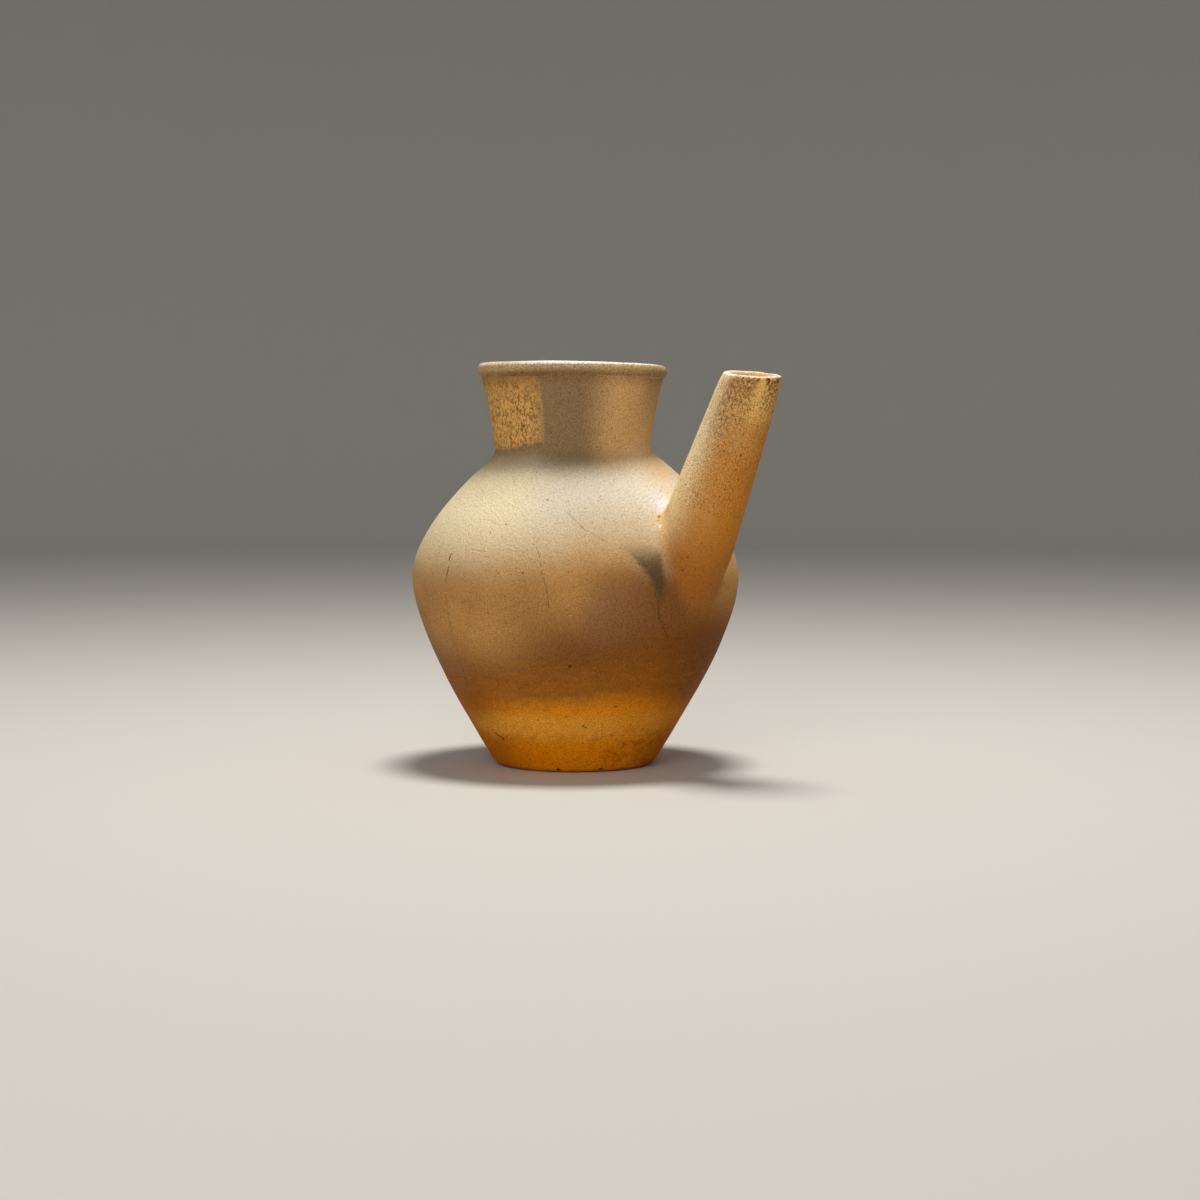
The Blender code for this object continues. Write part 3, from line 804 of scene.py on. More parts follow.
class FiredGround:
    """The fired body's colour, with painted glow, light and shade in it: an amber glow at the foot, an
    umber belt partly in painted shade, tan belly, cream shoulder partly painted light, grey neck and
    ochre spout. Right is the spout's side and left the other, seen from in front."""

    def __init__(self):
        sockets = numbers("Height", "Bearing", "Along", "Around", "Off Spout", "Mottle")
        paint, given, out = new_group("fired ground", sockets, {"Color": 'Color'})
        self.paint = paint
        self.position, self.mottle = given["Position"], given["Mottle"]
        self.level, self.bearing = given["Height"], given["Bearing"]
        self.along, self.around = given["Along"], given["Around"]
        self.height = paint.plus(self.level, paint.drift(self.position, 30 * MM, 4.0))
        side = paint.math('SINE', paint.math('RADIANS', paint.plus(self.bearing, 55.0)))
        self.side = side
        self.right, self.far_right = paint.rise(side, 0.1, 0.75), paint.rise(side, 0.6, 0.92)
        self.left, self.far_left = paint.rise(side, 0.12, -0.52), paint.rise(side, -0.25, -0.75)
        colour = self.slip_and_neck(self.painted_amber_glow(self.belly()))
        spout_share = paint.times(paint.rise(given["Off Spout"], 4.5, -0.5),
                                  paint.rise(self.along, -36.0, -14.0))
        paint.feed(out["Color"], paint.mix(spout_share, colour, self.spout()))

    def facing(self, bearing, low, high):
        return self.paint.facing(self.bearing, bearing, low, high)

    def belly(self):
        """Tan belly over an umber belt that is partly painted shade, dusky next to the patch of painted
        shade, in painted russet shade low on the right, with a painted lit strip on the right limb.
        """
        paint, height = self.paint, self.height
        colour = paint.mix(paint.rise(self.mottle, 0.3, 0.7), *MOTTLED_TAN)
        lightened = paint.times(self.left, paint.rise(height, 34.0, 58.0), 0.9)
        # The umber belt below the widest point: partly the clay's own tone, partly painted shade
        belt = paint.times(paint.rise(height, 77.0, 44.0), paint.minus(1.0, lightened))
        colour = paint.mix(belt, colour, UMBER)
        dusk = paint.times(self.facing(-26.0, 0.92, 0.995), paint.between(height, 54.0, 76.0, 8.0))
        colour = paint.mix(paint.times(dusk, 0.48), colour, DUSK)
        # Painted shade in russet on the right, darkest low down
        shade = paint.times(self.far_right, paint.rise(height, 68.0, 40.0), 0.6)
        shaded = paint.mix(shade, RUSSET, DARK_RUSSET)
        turned_away = paint.times(self.right, paint.rise(height, 102.0, 72.0), 0.92)
        colour = paint.mix(turned_away, colour, shaded)
        lit = paint.times(self.facing(36.0, 0.7, 0.96), paint.rise(height, 54.0, 84.0))
        return paint.mix(lit, colour, LIT_OCHRE)

    def painted_amber_glow(self, colour):
        """Painted glow of light through the wall at the foot, amber with a honey stripe, seeping up into
        the belt.
        """
        paint, position, level = self.paint, self.position, self.level
        glow_edge = paint.plus(level, paint.drift(position, 7 * MM, 6.0), paint.drift(position, 2.2 * MM, 5.0),
                          paint.times(self.facing(-12.0, 0.86, 0.99), -3.5),
                          paint.times(self.facing(-45.0, 0.93, 1.0), -0.8),
                          paint.times(self.far_right, 3.0))
        amber = paint.mix(paint.rise(level, 17.0, 5.0), GOLD, AMBER_GLOW)
        dull = paint.plus(self.far_left, paint.rise(self.side, 0.6, 0.97))
        amber = paint.mix(paint.times(dull, 0.85), amber, DIM_AMBER_GLOW)
        stripe = paint.between(paint.plus(level, paint.drift(position, 9 * MM, 5.0)), 14.5, 23.0, 3.5)
        lit = paint.plus(self.facing(-76.0, 0.55, 0.98), paint.times(self.facing(-18.0, 0.8, 0.98), 0.45))
        amber = paint.mix(paint.times(stripe, lit), amber, HONEY)
        upper_right = paint.times(self.right, paint.rise(level, 20.0, 32.0), 0.75)
        amber = paint.mix(upper_right, amber, DIM_AMBER_GLOW)
        seep = paint.highest(paint.times(paint.rise(glow_edge, 52.0, 30.0), 0.22),
                             paint.times(paint.rise(glow_edge, 44.0, 30.0), self.left, 0.38))
        # The painted glow covers the foot and seeps up into the belt
        glow = paint.highest(paint.rise(glow_edge, 36.0, 22.0), seep)
        colour = paint.mix(glow, colour, amber)
        smear = paint.times(paint.rise(self.side, -0.5, -0.72), paint.between(self.height, 18.0, 31.0, 5.0),
                            paint.plus(paint.noise(position, 5 * MM, 4.0, 0.7), 0.1))
        colour = paint.mix(paint.times(smear, 0.7), colour, RUSSET)
        edge = paint.times(paint.rise(self.side, -0.8, -0.93), paint.between(self.height, 40.0, 66.0, 8.0))
        return paint.mix(paint.times(edge, 0.3), colour, UMBER)

    def slip_and_neck(self, colour):
        """Cream slip over the shoulder, partly painted light, with painted highlights warm on the left and
        pale on the right; and the grey neck.
        """
        paint, height, side = self.paint, self.height, self.side
        slipped = paint.plus(height, paint.times(paint.rise(side, 0.05, -0.5), 4.5),
                             paint.times(self.facing(-34.0, 0.93, 0.995), -3.5))
        # Sand to cream up the shoulder: partly the slip's colour, partly painted light on the lit shoulder
        colour = paint.mix(paint.rise(slipped, 73.0, 93.0), colour, SAND)
        # Painted highlights on the slip: warm on the left, pale on the right
        slip = paint.mix(paint.rise(side, 0.1, -0.45), CREAM, WARM_CREAM)
        slip = paint.mix(paint.rise(side, 0.15, 0.75), slip, PALE_CREAM)
        colour = paint.mix(paint.rise(slipped, 83.0, 107.0), colour, slip)
        ashen = paint.times(self.facing(-15.0, 0.955, 0.995), paint.between(height, 58.0, 94.0, 8.0))
        ash = paint.mix(paint.rise(height, 70.0, 86.0), DUSK, ASH)
        colour = paint.mix(paint.times(ashen, 0.17), colour, ash)
        # The neck: grey in front, warmer on the right, partly painted light
        neck = paint.mix(paint.rise(side, 0.18, 0.64), GREY_CLAY, WARM_GREY)
        greyed = paint.times(self.facing(32.0, 0.8, 0.97), paint.rise(height, 132.0, 150.0), 0.5)
        neck = paint.mix(greyed, neck, GREY_CLAY)
        rooted = paint.minus(height, paint.plus(paint.times(self.facing(-40.0, 0.99, 0.8), 2.5),
                                                paint.times(self.far_right, 4.0)))
        straw_low = paint.times(self.far_right, paint.rise(height, 136.0, 124.0), 0.6)
        neck = paint.mix(straw_low, neck, STRAW)
        straw_root = paint.times(self.far_right, paint.between(height, 113.0, 126.0, 5.0), 0.5)
        colour = paint.mix(straw_root, colour, STRAW)
        return paint.mix(paint.rise(rooted, 112.0, 124.5), colour, neck)

    def spout(self):
        """Ochre spout, redder on its outer side, brown at its heel, and pale along its back, partly painted
        light on its upper side.
        """
        paint, along, around = self.paint, self.along, self.around
        colour = paint.mix(paint.rise(along, 34.0, 60.0), OCHRE, LIT_OCHRE)
        outer = paint.times(paint.facing(around, 10.0, 0.45, 0.9), paint.rise(along, 65.0, 44.0))
        colour = paint.mix(paint.times(outer, 0.85), colour, RED_OCHRE)
        hazy = paint.times(paint.between(along, 41.0, 52.0, 6.0), paint.facing(around, -26.0, 0.8, 0.97))
        colour = paint.mix(paint.times(hazy, 0.25), colour, WARM_GREY)
        colour = paint.mix(paint.rise(along, 19.0, -13.0), colour, BROWN_OCHRE)
        # Pale along the back: partly the clay's tone, partly painted light on the spout's upper side
        upper = paint.minus(1.0, paint.times(paint.rise(along, 40.0, 62.0), 0.45))
        upper = paint.times(upper, paint.plus(paint.times(paint.rise(along, 2.0, 30.0), 0.14), 0.86))
        pale = paint.highest(paint.times(paint.facing(around, -152.0, -0.1, 0.98), upper),
                             paint.facing(around, -152.0, 0.76, 0.95))
        pale_and_lit_back = paint.mix(paint.times(paint.rise(along, 20.0, 50.0), 0.35), PALE_OCHRE, PALE_AND_LIT_WHITE)
        return paint.mix(paint.times(pale, paint.rise(along, -8.0, 12.0)), colour, pale_and_lit_back)


PLACE = place_group()
GRAIN = grain_group()
CRACK = crack_group()
SPOT = spot_group()
GROUND = FiredGround().paint.tree

# How the grain shows in every finish: in relief, tone, dust, gloss and the depth of its grit
GRAIN_RELIEF = 0.6
GRAIN_TONE = 0.5
DUST_TONE = 2.1
GRAIN_GLOSS = 0.3
GRIT_DEPTH = 0.15
DRY_SHEEN = 0.05
INSIDE_SHARE = 0.8


class Coat:
    """One piece's clay finish, built up in layers of colour and of relief in millimetres."""

    def __init__(self, name, roughness, speck_share, speck_size=1.0):
        self.material = bpy.data.materials.new(name)
        self.material.use_nodes = True
        self.roughness = roughness
        paint = self.paint = Paint(self.material.node_tree)
        self.position = paint.node('ShaderNodeTexCoord').outputs["Object"]
        place = paint.group(PLACE, Position=self.position)
        self.height, self.bearing = place["Height"], place["Bearing"]
        self.along, self.around = place["Along"], place["Around"]
        sand = paint.group(GRAIN, Position=self.position, Speck_Share=speck_share, Speck_Size=speck_size)
        self.grain, self.dust, self.specks = sand["Grain"], sand["Dust"], sand["Specks"]
        self.colour = paint.group(GROUND, Position=self.position, Height=self.height,
                                  Bearing=self.bearing, Along=self.along, Around=self.around,
                                  Off_Spout=place["Off Spout"], Mottle=sand["Mottle"])["Color"]
        self.relief = paint.times(self.grain, GRAIN_RELIEF)

    def noise(self, size, detail=2.0, roughness=0.5):
        return self.paint.noise(self.position, size, detail, roughness)

    def drift(self, size, reach, detail=3.0):
        return self.paint.drift(self.position, size, reach, detail)

    def streaks(self, factors, size, detail, roughness):
        """Cloudy values drawn out where a factor along an axis is small."""
        drawn_out = self.paint.vector('MULTIPLY', self.position, factors)
        return self.paint.noise(drawn_out, size, detail, roughness)

    def stain(self, mask, colour, strength=1.0):
        self.colour = self.paint.mix(self.paint.times(mask, strength), self.colour, colour)

    def dent(self, mask, depth):
        self.relief = self.paint.minus(self.relief, self.paint.times(mask, depth))

    def crack(self, start, end, width, wander, breaks, strength, depth):
        """A crack between two (bearing, height) places: its width and wander are in degrees."""
        line = self.paint.group(CRACK, Position=self.position, Bearing=self.bearing, Height=self.height,
                                From_Bearing=start[0], From_Height=start[1], To_Bearing=end[0],
                                To_Height=end[1], Width=width, Wander=wander, Breaks=breaks)["Line"]
        self.stain(line, PIT, strength)
        self.dent(line, depth)

    def spot(self, centre, radius, colour, strength, depth=0.0, softness=0.5):
        """A small uneven spot at a point of the surface, given with its radius in millimetres."""
        mask = self.paint.group(SPOT, Position=self.position, Centre=Vector(centre) * MM,
                                Radius=radius * MM, Softness=softness)["Mask"]
        self.stain(mask, colour, strength)
        self.dent(mask, depth)

    def wall_spot(self, bearing, height, *look, **edge):
        self.spot(on_wall(bearing * DEGREE, height * MM) / MM, *look, **edge)

    def spout_spot(self, along, around, *look, **edge):
        self.spot(on_spout(along * MM, around * DEGREE) / MM, *look, **edge)

    def pit(self, bearing, height, radius, strength=0.85):
        self.wall_spot(bearing, height, radius, PIT, strength, depth=0.3)

    def finished(self, contrast=0.8, grit=0.6, grit_colour=PIT, inside=INSIDE):
        """The material, with grain and grit over all layers and the hollow's own colour inside."""
        paint = self.paint
        hollow = paint.node('ShaderNodeAttribute', attribute_name="hollow").outputs["Fac"]
        dregs = paint.mix(paint.rise(self.height, 60.0, 12.0), inside, RESIDUE)
        self.stain(hollow, dregs, INSIDE_SHARE)
        self.stain(self.specks, grit_colour, grit)
        self.dent(self.specks, GRIT_DEPTH)
        tone = paint.plus(paint.times(paint.minus(self.grain, 0.5), GRAIN_TONE * contrast),
                          paint.times(paint.minus(self.dust, 0.5), DUST_TONE * contrast), 1.0)
        tone = paint.node('ShaderNodeCombineColor', tone, tone, tone).outputs[0]
        self.colour = paint.mix(1.0, self.colour, tone, 'MULTIPLY')
        shader = self.material.node_tree.nodes["Principled BSDF"]
        paint.feed(shader.inputs["Base Color"], self.colour)
        satin = paint.plus(paint.times(paint.minus(self.grain, 0.5), GRAIN_GLOSS), self.roughness)
        paint.feed(shader.inputs["Roughness"], satin)
        shader.inputs["Specular IOR Level"].default_value = DRY_SHEEN
        bump = paint.node('ShaderNodeBump')
        bump.inputs["Distance"].default_value = MM
        paint.feed(bump.inputs["Height"], self.relief)
        paint.feed(shader.inputs["Normal"], bump.outputs["Normal"])
        return self.material


# Cracks: from and to (bearing, height), width, wander, breaks, strength and depth
BELLY_CRACKS = (
    ((-97.4, 86.0), (-97.0, 77.0), 0.42, 1.8, 0.43, 0.9, 0.3),
    ((-97.0, 77.0), (-102.0, 33.0), 0.35, 2.0, 0.44, 0.3, 0.2),
    ((-61.4, 89.0), (-57.9, 77.0), 0.22, 1.7, 0.47, 0.5, 0.2),
    ((-57.9, 77.0), (-56.4, 67.0), 0.20, 1.5, 0.47, 0.5, 0.2),
    ((-19.2, 69.5), (-17.8, 61.5), 0.26, 2.0, 0.38, 0.7, 0.2),
    ((-17.8, 62.0), (-12.4, 54.0), 0.36, 2.5, 0.40, 0.7, 0.15),
)
SHOULDER_CRACKS = (
    ((-52.0, 103.0), (-44.2, 95.2), 0.38, 3.0, 0.43, 0.06, 0.4),
    ((-44.2, 95.2), (-36.0, 90.5), 0.40, 3.0, 0.46, 0.05, 0.25),
)
# Painted highlights and pits in the crook of the spout: centre, radius, colour, strength, depth and
# softness
CROOK_HIGHLIGHTS_AND_PITS = (
    ((49.8, -7.8, 105.0), 10.0, HIGHLIGHT_WHITE, 0.5, 0.0, 1.0),
    ((51.4, -7.6, 104.6), 3.6, HIGHLIGHT_WHITE, 0.75, 0.0, 0.9),
    ((49.4, -5.0, 107.2), 3.6, HIGHLIGHT_WHITE, 0.6, 0.0, 0.9),
    ((53.0, -9.8, 102.4), 2.6, HIGHLIGHT_WHITE, 0.5, 0.0, 0.9),
    ((54.6, -12.4, 100.2), 0.8, PIT, 0.7, 0.4, 0.8),
    ((54.7, -12.9, 99.4), 0.5, PIT, 0.5, 0.3, 0.8),
    ((56.6, -14.4, 96.6), 1.1, BARE_CLAY_AND_HIGHLIGHT, 0.6, 0.0, 0.8),
)
# Pits and spots: bearing, height and radius on the jar, or along, around and radius on the spout
BELLY_PITS = ((-50.3, 43.7, 0.85), (-56.1, 38.1, 0.5), (-66.0, 79.5, 0.5), (-92.5, 43.0, 0.45),
              (-29.2, 27.3, 0.6), (-18.0, 62.1, 0.5))
SHOULDER_PITS = ((-60.8, 106.4, 0.6), (-81.8, 94.2, 0.55), (-75.9, 97.3, 0.5))
SPOUT_ROOT_SPECKS = ((12.5, -10.0, 0.5), (12.1, 1.0, 0.5), (10.1, -2.0, 0.4), (5.6, -45.0, 0.5),
                     (-2.7, -64.5, 0.6), (-1.5, -57.6, 0.7), (-7.0, -57.5, 0.7),
                     (-8.3, -51.3, 0.6), (-5.2, -41.4, 0.5), (-7.0, -4.7, 0.45))
FOOT_GASH = ((-98.6, 16.3, 0.6), (-97.6, 14.8, 0.7), (-96.2, 14.0, 0.8), (-94.6, 13.6, 0.95),
             (-93.0, 13.0, 1.0), (-106.0, 14.0, 0.7), (-93.4, 10.6, 0.5))
FOOT_SPOTS = ((-43.9, 19.7, 0.9), (-42.6, 19.0, 0.7), (-28.2, 15.7, 0.6), (-43.4, 12.5, 0.6),
              (-74.3, 21.8, 0.5), (-66.4, 21.8, 0.5))
FOOT_NICKS = ((-59.7, 0.8, 1.2), (-29.3, 0.8, 1.2))
RIM_NICKS = ((-23.7, 156.9, 0.35), (-23.7, 157.6, 0.35), (-23.7, 158.3, 0.35))
# Drips under the spout's mouth: along, around, radius and strength
MOUTH_DRIPS = ((70.7, -40.9, 0.9, 0.85), (71.6, -35.5, 0.5, 0.85), (71.8, -19.7, 1.1, 0.9),
               (70.3, -17.8, 0.8, 0.85), (71.2, 8.4, 1.2, 0.8), (70.6, -52.2, 0.6, 0.5),
               (69.0, -58.8, 0.7, 0.5), (66.9, -52.8, 0.7, 0.5))


def belly_marks(coat):
    """Cracks, a patch of painted shade beside the spout's root, and pits that run over the belly's joint,
    the same on both sections.
    """
    paint, bearing, height = coat.paint, coat.bearing, coat.height
    for crack in BELLY_CRACKS:
        coat.crack(*crack)
    scratch = paint.off(paint.plus(height, coat.drift(8 * MM, 3.0)), 53.8)
    dashes = paint.rise(coat.noise(2.2 * MM, 3.0, 0.7), 0.46, 0.56)
    dashes = paint.times(paint.rise(scratch, 0.5, 0.1), dashes, paint.between(bearing, -12.0, -3.0, 1.5))
    coat.stain(dashes, PIT, 0.7)
    strip = paint.times(paint.rise(bearing, -97.8, -98.8), paint.rise(bearing, -135.0, -110.0),
                        paint.between(height, 34.0, 76.0, 8.0))
    coat.stain(strip, GREY_CLAY, 0.16)
    # Patch of painted shade beside the spout's root, grainy, with a ragged edge
    ragged = coat.drift(3.5 * MM, 4.0, 4.0)
    above_tip = paint.minus(height, 70.0)
    left_edge = paint.times(above_tip, paint.plus(paint.times(above_tip, 0.019), 0.248), -1.0)
    inward = paint.plus(paint.minus(bearing, paint.plus(left_edge, -20.2)), ragged)
    painted_shade_patch = paint.times(paint.rise(inward, -1.2, 2.2),
                         paint.rise(paint.plus(bearing, ragged), -15.4, -18.4),
                         paint.rise(height, 65.0, 73.0),
                         paint.rise(paint.plus(height, ragged), 91.0, 81.5))
    painted_shade_patch = paint.times(painted_shade_patch, paint.plus(paint.times(coat.grain, 0.6), 0.62))
    coat.stain(painted_shade_patch, SHADE_GREY, 0.93)
    for pit in BELLY_PITS:
        coat.pit(*pit)


def base_finish():
    """Clay at the foot under its painted amber glow, clouded and gritty low on the right, with a gash on
    the left.
    """
    coat = Coat("amber_clay", roughness=0.6, speck_share=1.0)
    paint, bearing, height = coat.paint, coat.bearing, coat.height
    cloud = paint.rise(coat.streaks((0.6, 0.6, 1.0), 2.6 * MM, 5.0, 0.8), 0.45, 0.68)
    low_right = paint.times(paint.rise(bearing, -42.0, -20.0), paint.rise(bearing, 40.0, 10.0))
    coat.stain(paint.times(cloud, low_right, paint.rise(height, 20.0, 12.0)), RED_GRIT, 0.6)
    # Clouds of dimmer painted glow low on the foot
    coat.stain(paint.times(cloud, paint.rise(height, 30.0, 5.0)), DIM_AMBER_GLOW, 0.5)
    for spot in FOOT_GASH:
        coat.wall_spot(*spot, RED_GRIT, 0.9, depth=0.2, softness=0.7)
    for spot in FOOT_SPOTS:
        coat.wall_spot(*spot, RED_GRIT, 0.8, depth=0.1, softness=0.8)
    for nick in FOOT_NICKS:
        coat.pit(*nick, 0.8)
    return coat.finished(contrast=0.9, grit=0.75, grit_colour=RED_GRIT)


def lower_wall_finish():
    """Tan clay, wiped round by the maker's fingers just above the foot."""
    coat = Coat("tan_clay", roughness=0.62, speck_share=0.55)
    belly_marks(coat)
    paint = coat.paint
    wiped = coat.streaks((0.16, 0.16, 1.0), 1.5 * MM, 4.0, 0.7)
    low = paint.between(coat.height, 31.0, 47.0, 7.0)
    coat.stain(paint.times(paint.rise(wiped, 0.45, 0.75), low), GOLD, 0.16)
    coat.dent(paint.times(wiped, low), 0.25)
    return coat.finished(contrast=0.95)


def shoulder_finish():
    """Pale slip with a faint fold and ridge, and painted highlights and pits in the crook of the spout."""
    coat = Coat("cream_slip", roughness=0.6, speck_share=0.5)
    belly_marks(coat)
    for crack in SHOULDER_CRACKS:
        coat.crack(*crack)
    paint = coat.paint
    line = paint.off(paint.plus(coat.height, coat.drift(7 * MM, 3.0)), 87.0)
    fold = paint.times(paint.rise(line, 0.5, 0.1), paint.between(coat.bearing, -96.0, -64.0, 2.0))
    fold = paint.times(fold, paint.rise(coat.noise(5 * MM, 3.0), 0.45, 0.6))
    coat.dent(fold, 0.12)
    coat.stain(fold, TAN, 0.15)
    for pit in SHOULDER_PITS:
        coat.pit(*pit, 0.45)
    coat.spout_spot(9.5, -132.0, 7.5, WARM_GREY, 0.8, softness=1.0)
    # Painted highlights and pits in the crook of the spout
    for spot in CROOK_HIGHLIGHTS_AND_PITS:
        coat.spot(*spot)
    for speck in SPOUT_ROOT_SPECKS:
        coat.spout_spot(*speck, PIT, 0.55, depth=0.2, softness=0.7)
    return coat.finished(contrast=0.65)


def neck_finish():
    """Grey slip that has flaked off the left side in one ragged patch of straw-coloured clay, darkened by
    painted shadow under the rim.
    """
    coat = Coat("grey_cream_slip", roughness=0.62, speck_share=0.5)
    paint, bearing, height = coat.paint, coat.bearing, coat.height
    edge = paint.plus(bearing, coat.drift(4 * MM, 10.0, 5.0))
    foot = paint.plus(height, coat.drift(4 * MM, 5.0, 5.0),
                      paint.times(paint.rise(bearing, -76.0, -110.0), 2.5))
    patch = paint.times(paint.rise(edge, -68.5, -73.5), paint.rise(edge, -172.0, -158.0),
                        paint.rise(foot, 127.6, 129.6), paint.rise(height, 156.0, 150.5))
    coat.stain(patch, STRAW, 0.85)
    coat.stain(patch, HONEY, 0.25)
    flakes = paint.plus(coat.streaks((1.0, 1.0, 0.62), 1.1 * MM, 5.0, 0.8), coat.drift(6 * MM, 0.16))
    coat.stain(paint.times(paint.rise(flakes, 0.46, 0.60), patch), FLAKE_AND_SHADE_BROWN, 0.9)
    # Painted shadow of the rim over the top of the patch
    coat.stain(paint.times(patch, paint.rise(height, 143.0, 152.0)), UMBER, 0.3)
    coat.stain(paint.times(patch, paint.rise(edge, -84.0, -72.0)), GREY_CLAY, 0.4)
    coat.dent(patch, 0.12)
    # Painted shadow under the rim, all round the neck's top
    coat.stain(paint.rise(height, 149.0, 153.5), UMBER, 0.3)
    return coat.finished(contrast=0.95)


def rim_finish():
    """Slip on the rolled rim, with a painted lit top, painted shade under its bead, a painted highlight
    along its crown and a faint one in the crease under it.
    """
    coat = Coat("worn_cream_slip", roughness=0.6, speck_share=0.7, speck_size=1.2)
    paint, bearing = coat.paint, coat.bearing
    coat.stain(paint.facing(bearing, -20.0, 0.0, 0.7), GREY_CLAY, 0.4)
    coat.stain(paint.facing(bearing, -125.0, 0.4, 0.95), STRAW, 0.3)
    level = paint.plus(coat.height, coat.drift(1.6 * MM, 0.9))
    # Painted light on the top of the bead
    coat.stain(paint.rise(level, 155.2, 157.6), SAND, 0.6)
    # Painted shade under the bead, deepest on the left
    under = paint.plus(paint.times(paint.facing(bearing, -80.0, 0.9, 0.99), 0.3), 0.5)
    coat.stain(paint.times(paint.rise(level, 157.0, 154.4), under), FLAKE_AND_SHADE_BROWN)
    # How strong the painted highlight along the crown is, by bearing
    worn = paint.plus(paint.times(paint.facing(bearing, -28.0, 0.4, 0.85), 0.6), 0.38)
    coat.stain(paint.times(paint.rise(level, 158.2, 159.1), worn), BARE_CLAY_AND_HIGHLIGHT)
    # Faint painted highlight in the crease under the bead, on the right
    crease = paint.times(paint.between(coat.height, 153.4, 154.1, 0.3),
                         paint.facing(bearing, -2.0, 0.8, 0.95))
    coat.stain(crease, WARM_CREAM, 0.2)
    coat.pit(-115.0, 154.9, 0.9, 0.6)
    for nick in RIM_NICKS:
        coat.pit(*nick, 0.8)
    return coat.finished(contrast=1.5)


def spout_finish():
    """Speckled ochre clay, washed pale, mottled and dripped on below a bare lip."""
    coat = Coat("ochre_clay", roughness=0.6, speck_share=1.3, speck_size=1.1)
    paint, along, around = coat.paint, coat.along, coat.around
    sheet = paint.node('ShaderNodeCombineXYZ', paint.times(around, 0.21 * MM),
                       paint.times(along, 0.7 * MM), 0.0).outputs[0]
    blots = paint.plus(paint.noise(sheet, 1.0 * MM, 5.0, 0.8), coat.drift(6 * MM, 0.16))
    up = paint.plus(along, coat.drift(6 * MM, 12.0))
    washed = paint.times(paint.rise(up, 48.0, 63.0), paint.facing(around, -40.0, 0.62, 0.95))
    coat.stain(washed, STRAW, 0.85)
    mottled = paint.times(paint.rise(up, 36.0, 56.0), paint.facing(around, -70.0, 0.78, 0.95))
    fall = paint.rise(along, 52.0, 70.0)
    mottling = paint.rise(paint.plus(blots, paint.times(fall, 0.05)), 0.41, 0.60)
    coat.stain(paint.times(mottling, mottled), FLAKE_AND_SHADE_BROWN, 0.77)
    dripping = paint.times(paint.facing(around, 10.0, 0.77, 0.92), paint.rise(along, 46.0, 54.0))
    drips = paint.rise(paint.plus(blots, paint.times(fall, 0.06)), 0.53, 0.64)
    coat.stain(paint.times(drips, dripping), DRIP, 0.8)
    from_mouth = paint.vector('SUBTRACT', coat.position, MOUTH_CENTRE)
    level = paint.vector('DOT_PRODUCT', from_mouth, MOUTH_UP / MM)
    for *place, strength in MOUTH_DRIPS:
        coat.spout_spot(*place, DRIP, strength, depth=0.2, softness=0.6)
    lip = paint.rise(paint.plus(level, coat.drift(2.0 * MM, 0.6)), -0.95, -0.45)
    coat.stain(lip, BARE_CLAY_AND_HIGHLIGHT, 0.75)
    return coat.finished(contrast=1.2, grit=0.85, inside=STRAW)


FINISHES = {
    "base_dish": (base_finish, "amber_clay"),
    "lower_wall": (lower_wall_finish, "tan_clay"),
    "shoulder": (shoulder_finish, "cream_slip"),
    "neck": (neck_finish, "grey_cream_slip"),
    "rim": (rim_finish, "worn_cream_slip"),
    "spout": (spout_finish, "ochre_clay"),
}

# Camera: the photograph's viewing angle
VIEW_AZIMUTH = 42.0 * DEGREE
VIEW_DISTANCE = 932.2 * MM
VIEW_HEIGHT = 123.4 * MM
VIEW_DOWN = 3.559 * DEGREE
VIEW_RIGHT = 0.625 * DEGREE
LENS = 69.77
SENSOR = 36.0
TOWARDS_CAMERA = Vector((math.sin(VIEW_AZIMUTH), -math.cos(VIEW_AZIMUTH), 0.0))
RIGHTWARDS = Vector((math.cos(VIEW_AZIMUTH), math.sin(VIEW_AZIMUTH), 0.0))

# Studio, in metres
FLOOR_RADIUS = 2.2
FLOOR_SIDES = 96
FLOOR_GAP = 0.2 * MM
FLOOR_COLOUR = (0.62, 0.60, 0.57, 1.0)
FLOOR_ROUGHNESS = 0.8
COVE_RADIUS = 0.9
COVE_STEPS = 12
WALL_HEIGHT = 2.4
ROOM_COLOUR = (1.0, 0.98, 0.95, 1.0)
ROOM_STRENGTH = 0.25


def camera():
    data = bpy.data.cameras.new("camera")
    data.lens = LENS
    data.sensor_width = SENSOR
    eye = bpy.data.objects.new("camera", data)
    bpy.context.scene.collection.objects.link(eye)
    eye.location = VIEW_DISTANCE * TOWARDS_CAMERA + Vector((0.0, 0.0, VIEW_HEIGHT))
    eye.rotation_euler = (90 * DEGREE - VIEW_DOWN, 0.0, VIEW_AZIMUTH - VIEW_RIGHT)
    bpy.context.scene.camera = eye


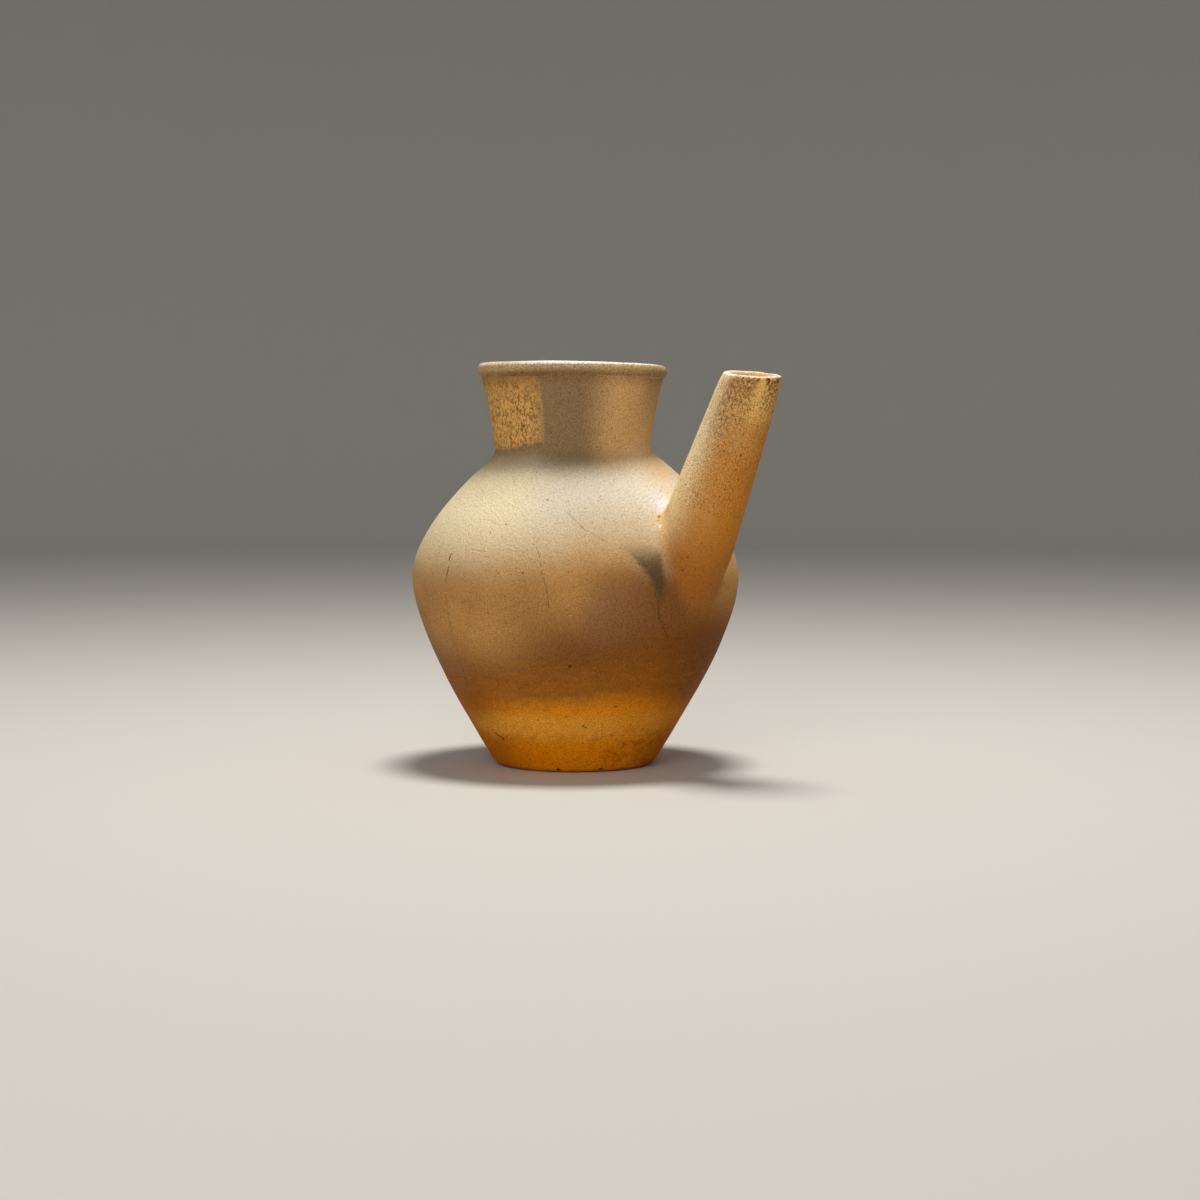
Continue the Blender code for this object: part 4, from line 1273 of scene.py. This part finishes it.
def floor():
    """Pale floor that curves up all round into a plain backdrop."""
    deselect_all()
    bpy.ops.mesh.primitive_circle_add(vertices=FLOOR_SIDES, radius=FLOOR_RADIUS, fill_type='NGON',
                                      location=(0, 0, -FLOOR_GAP))
    ground = bpy.context.object
    ground.name = "floor"
    bpy.ops.object.transform_apply(location=True, rotation=True, scale=True)
    bpy.ops.object.mode_set(mode='EDIT')
    bpy.ops.mesh.select_all(action='SELECT')
    bpy.ops.mesh.select_mode(type='EDGE')
    bpy.ops.mesh.region_to_loop()
    radius, height = FLOOR_RADIUS, 0.0
    cove = [(FLOOR_RADIUS + COVE_RADIUS * math.sin(a), COVE_RADIUS * (1 - math.cos(a)))
            for a in spread(0.0, 90 * DEGREE, COVE_STEPS)[1:]]
    for wide, high in cove + [(FLOOR_RADIUS + COVE_RADIUS, WALL_HEIGHT)]:
        bpy.ops.mesh.extrude_edges_move(TRANSFORM_OT_translate={"value": (0, 0, high - height)})
        bpy.ops.transform.resize(value=(wide / radius, wide / radius, 1.0), center_override=(0, 0, high))
        radius, height = wide, high
    bpy.ops.object.mode_set(mode='OBJECT')
    bpy.ops.object.shade_smooth()
    material = bpy.data.materials.new("pale_floor")
    material.use_nodes = True
    shader = material.node_tree.nodes["Principled BSDF"]
    shader.inputs["Base Color"].default_value = FLOOR_COLOUR
    shader.inputs["Roughness"].default_value = FLOOR_ROUGHNESS
    ground.data.materials.append(material)


def area_light(name, forward, right, up, aim_height, size, power, colour):
    """A round soft light, placed towards the camera, to its right and up from the vessel's foot."""
    data = bpy.data.lights.new(name, 'AREA')
    data.shape = 'DISK'
    data.size = size
    data.energy = power
    data.color = colour
    lamp = bpy.data.objects.new(name, data)
    bpy.context.scene.collection.objects.link(lamp)
    place = forward * TOWARDS_CAMERA + right * RIGHTWARDS + Vector((0.0, 0.0, up))
    lamp.location = place
    lamp.rotation_euler = (Vector((0.0, 0.0, aim_height)) - place).to_track_quat('-Z', 'Y').to_euler()


def light():
    area_light("overhead_softbox", forward=-0.05, right=0.05, up=1.15, aim_height=0.08,
               size=0.32, power=12.0, colour=(1.0, 0.96, 0.90))
    area_light("front_fill", forward=1.5, right=-0.35, up=0.55, aim_height=0.05,
               size=1.2, power=10.0, colour=(1.0, 0.98, 0.95))
    world = bpy.data.worlds.new("studio")
    bpy.context.scene.world = world
    world.use_nodes = True
    background = world.node_tree.nodes["Background"]
    background.inputs["Color"].default_value = ROOM_COLOUR
    background.inputs["Strength"].default_value = ROOM_STRENGTH


for node, piece in sections(one_piece_vessel()).items():
    make_active(piece)
    bpy.ops.object.shade_smooth_by_angle(angle=CRISP_EDGE)
    finish, slot = FINISHES[node]
    piece.data.materials.append(finish())
    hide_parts(node)
    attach(piece, "root")
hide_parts("spout_luting")
floor()
light()
camera()
bpy.context.scene.view_settings.view_transform = 'Standard'
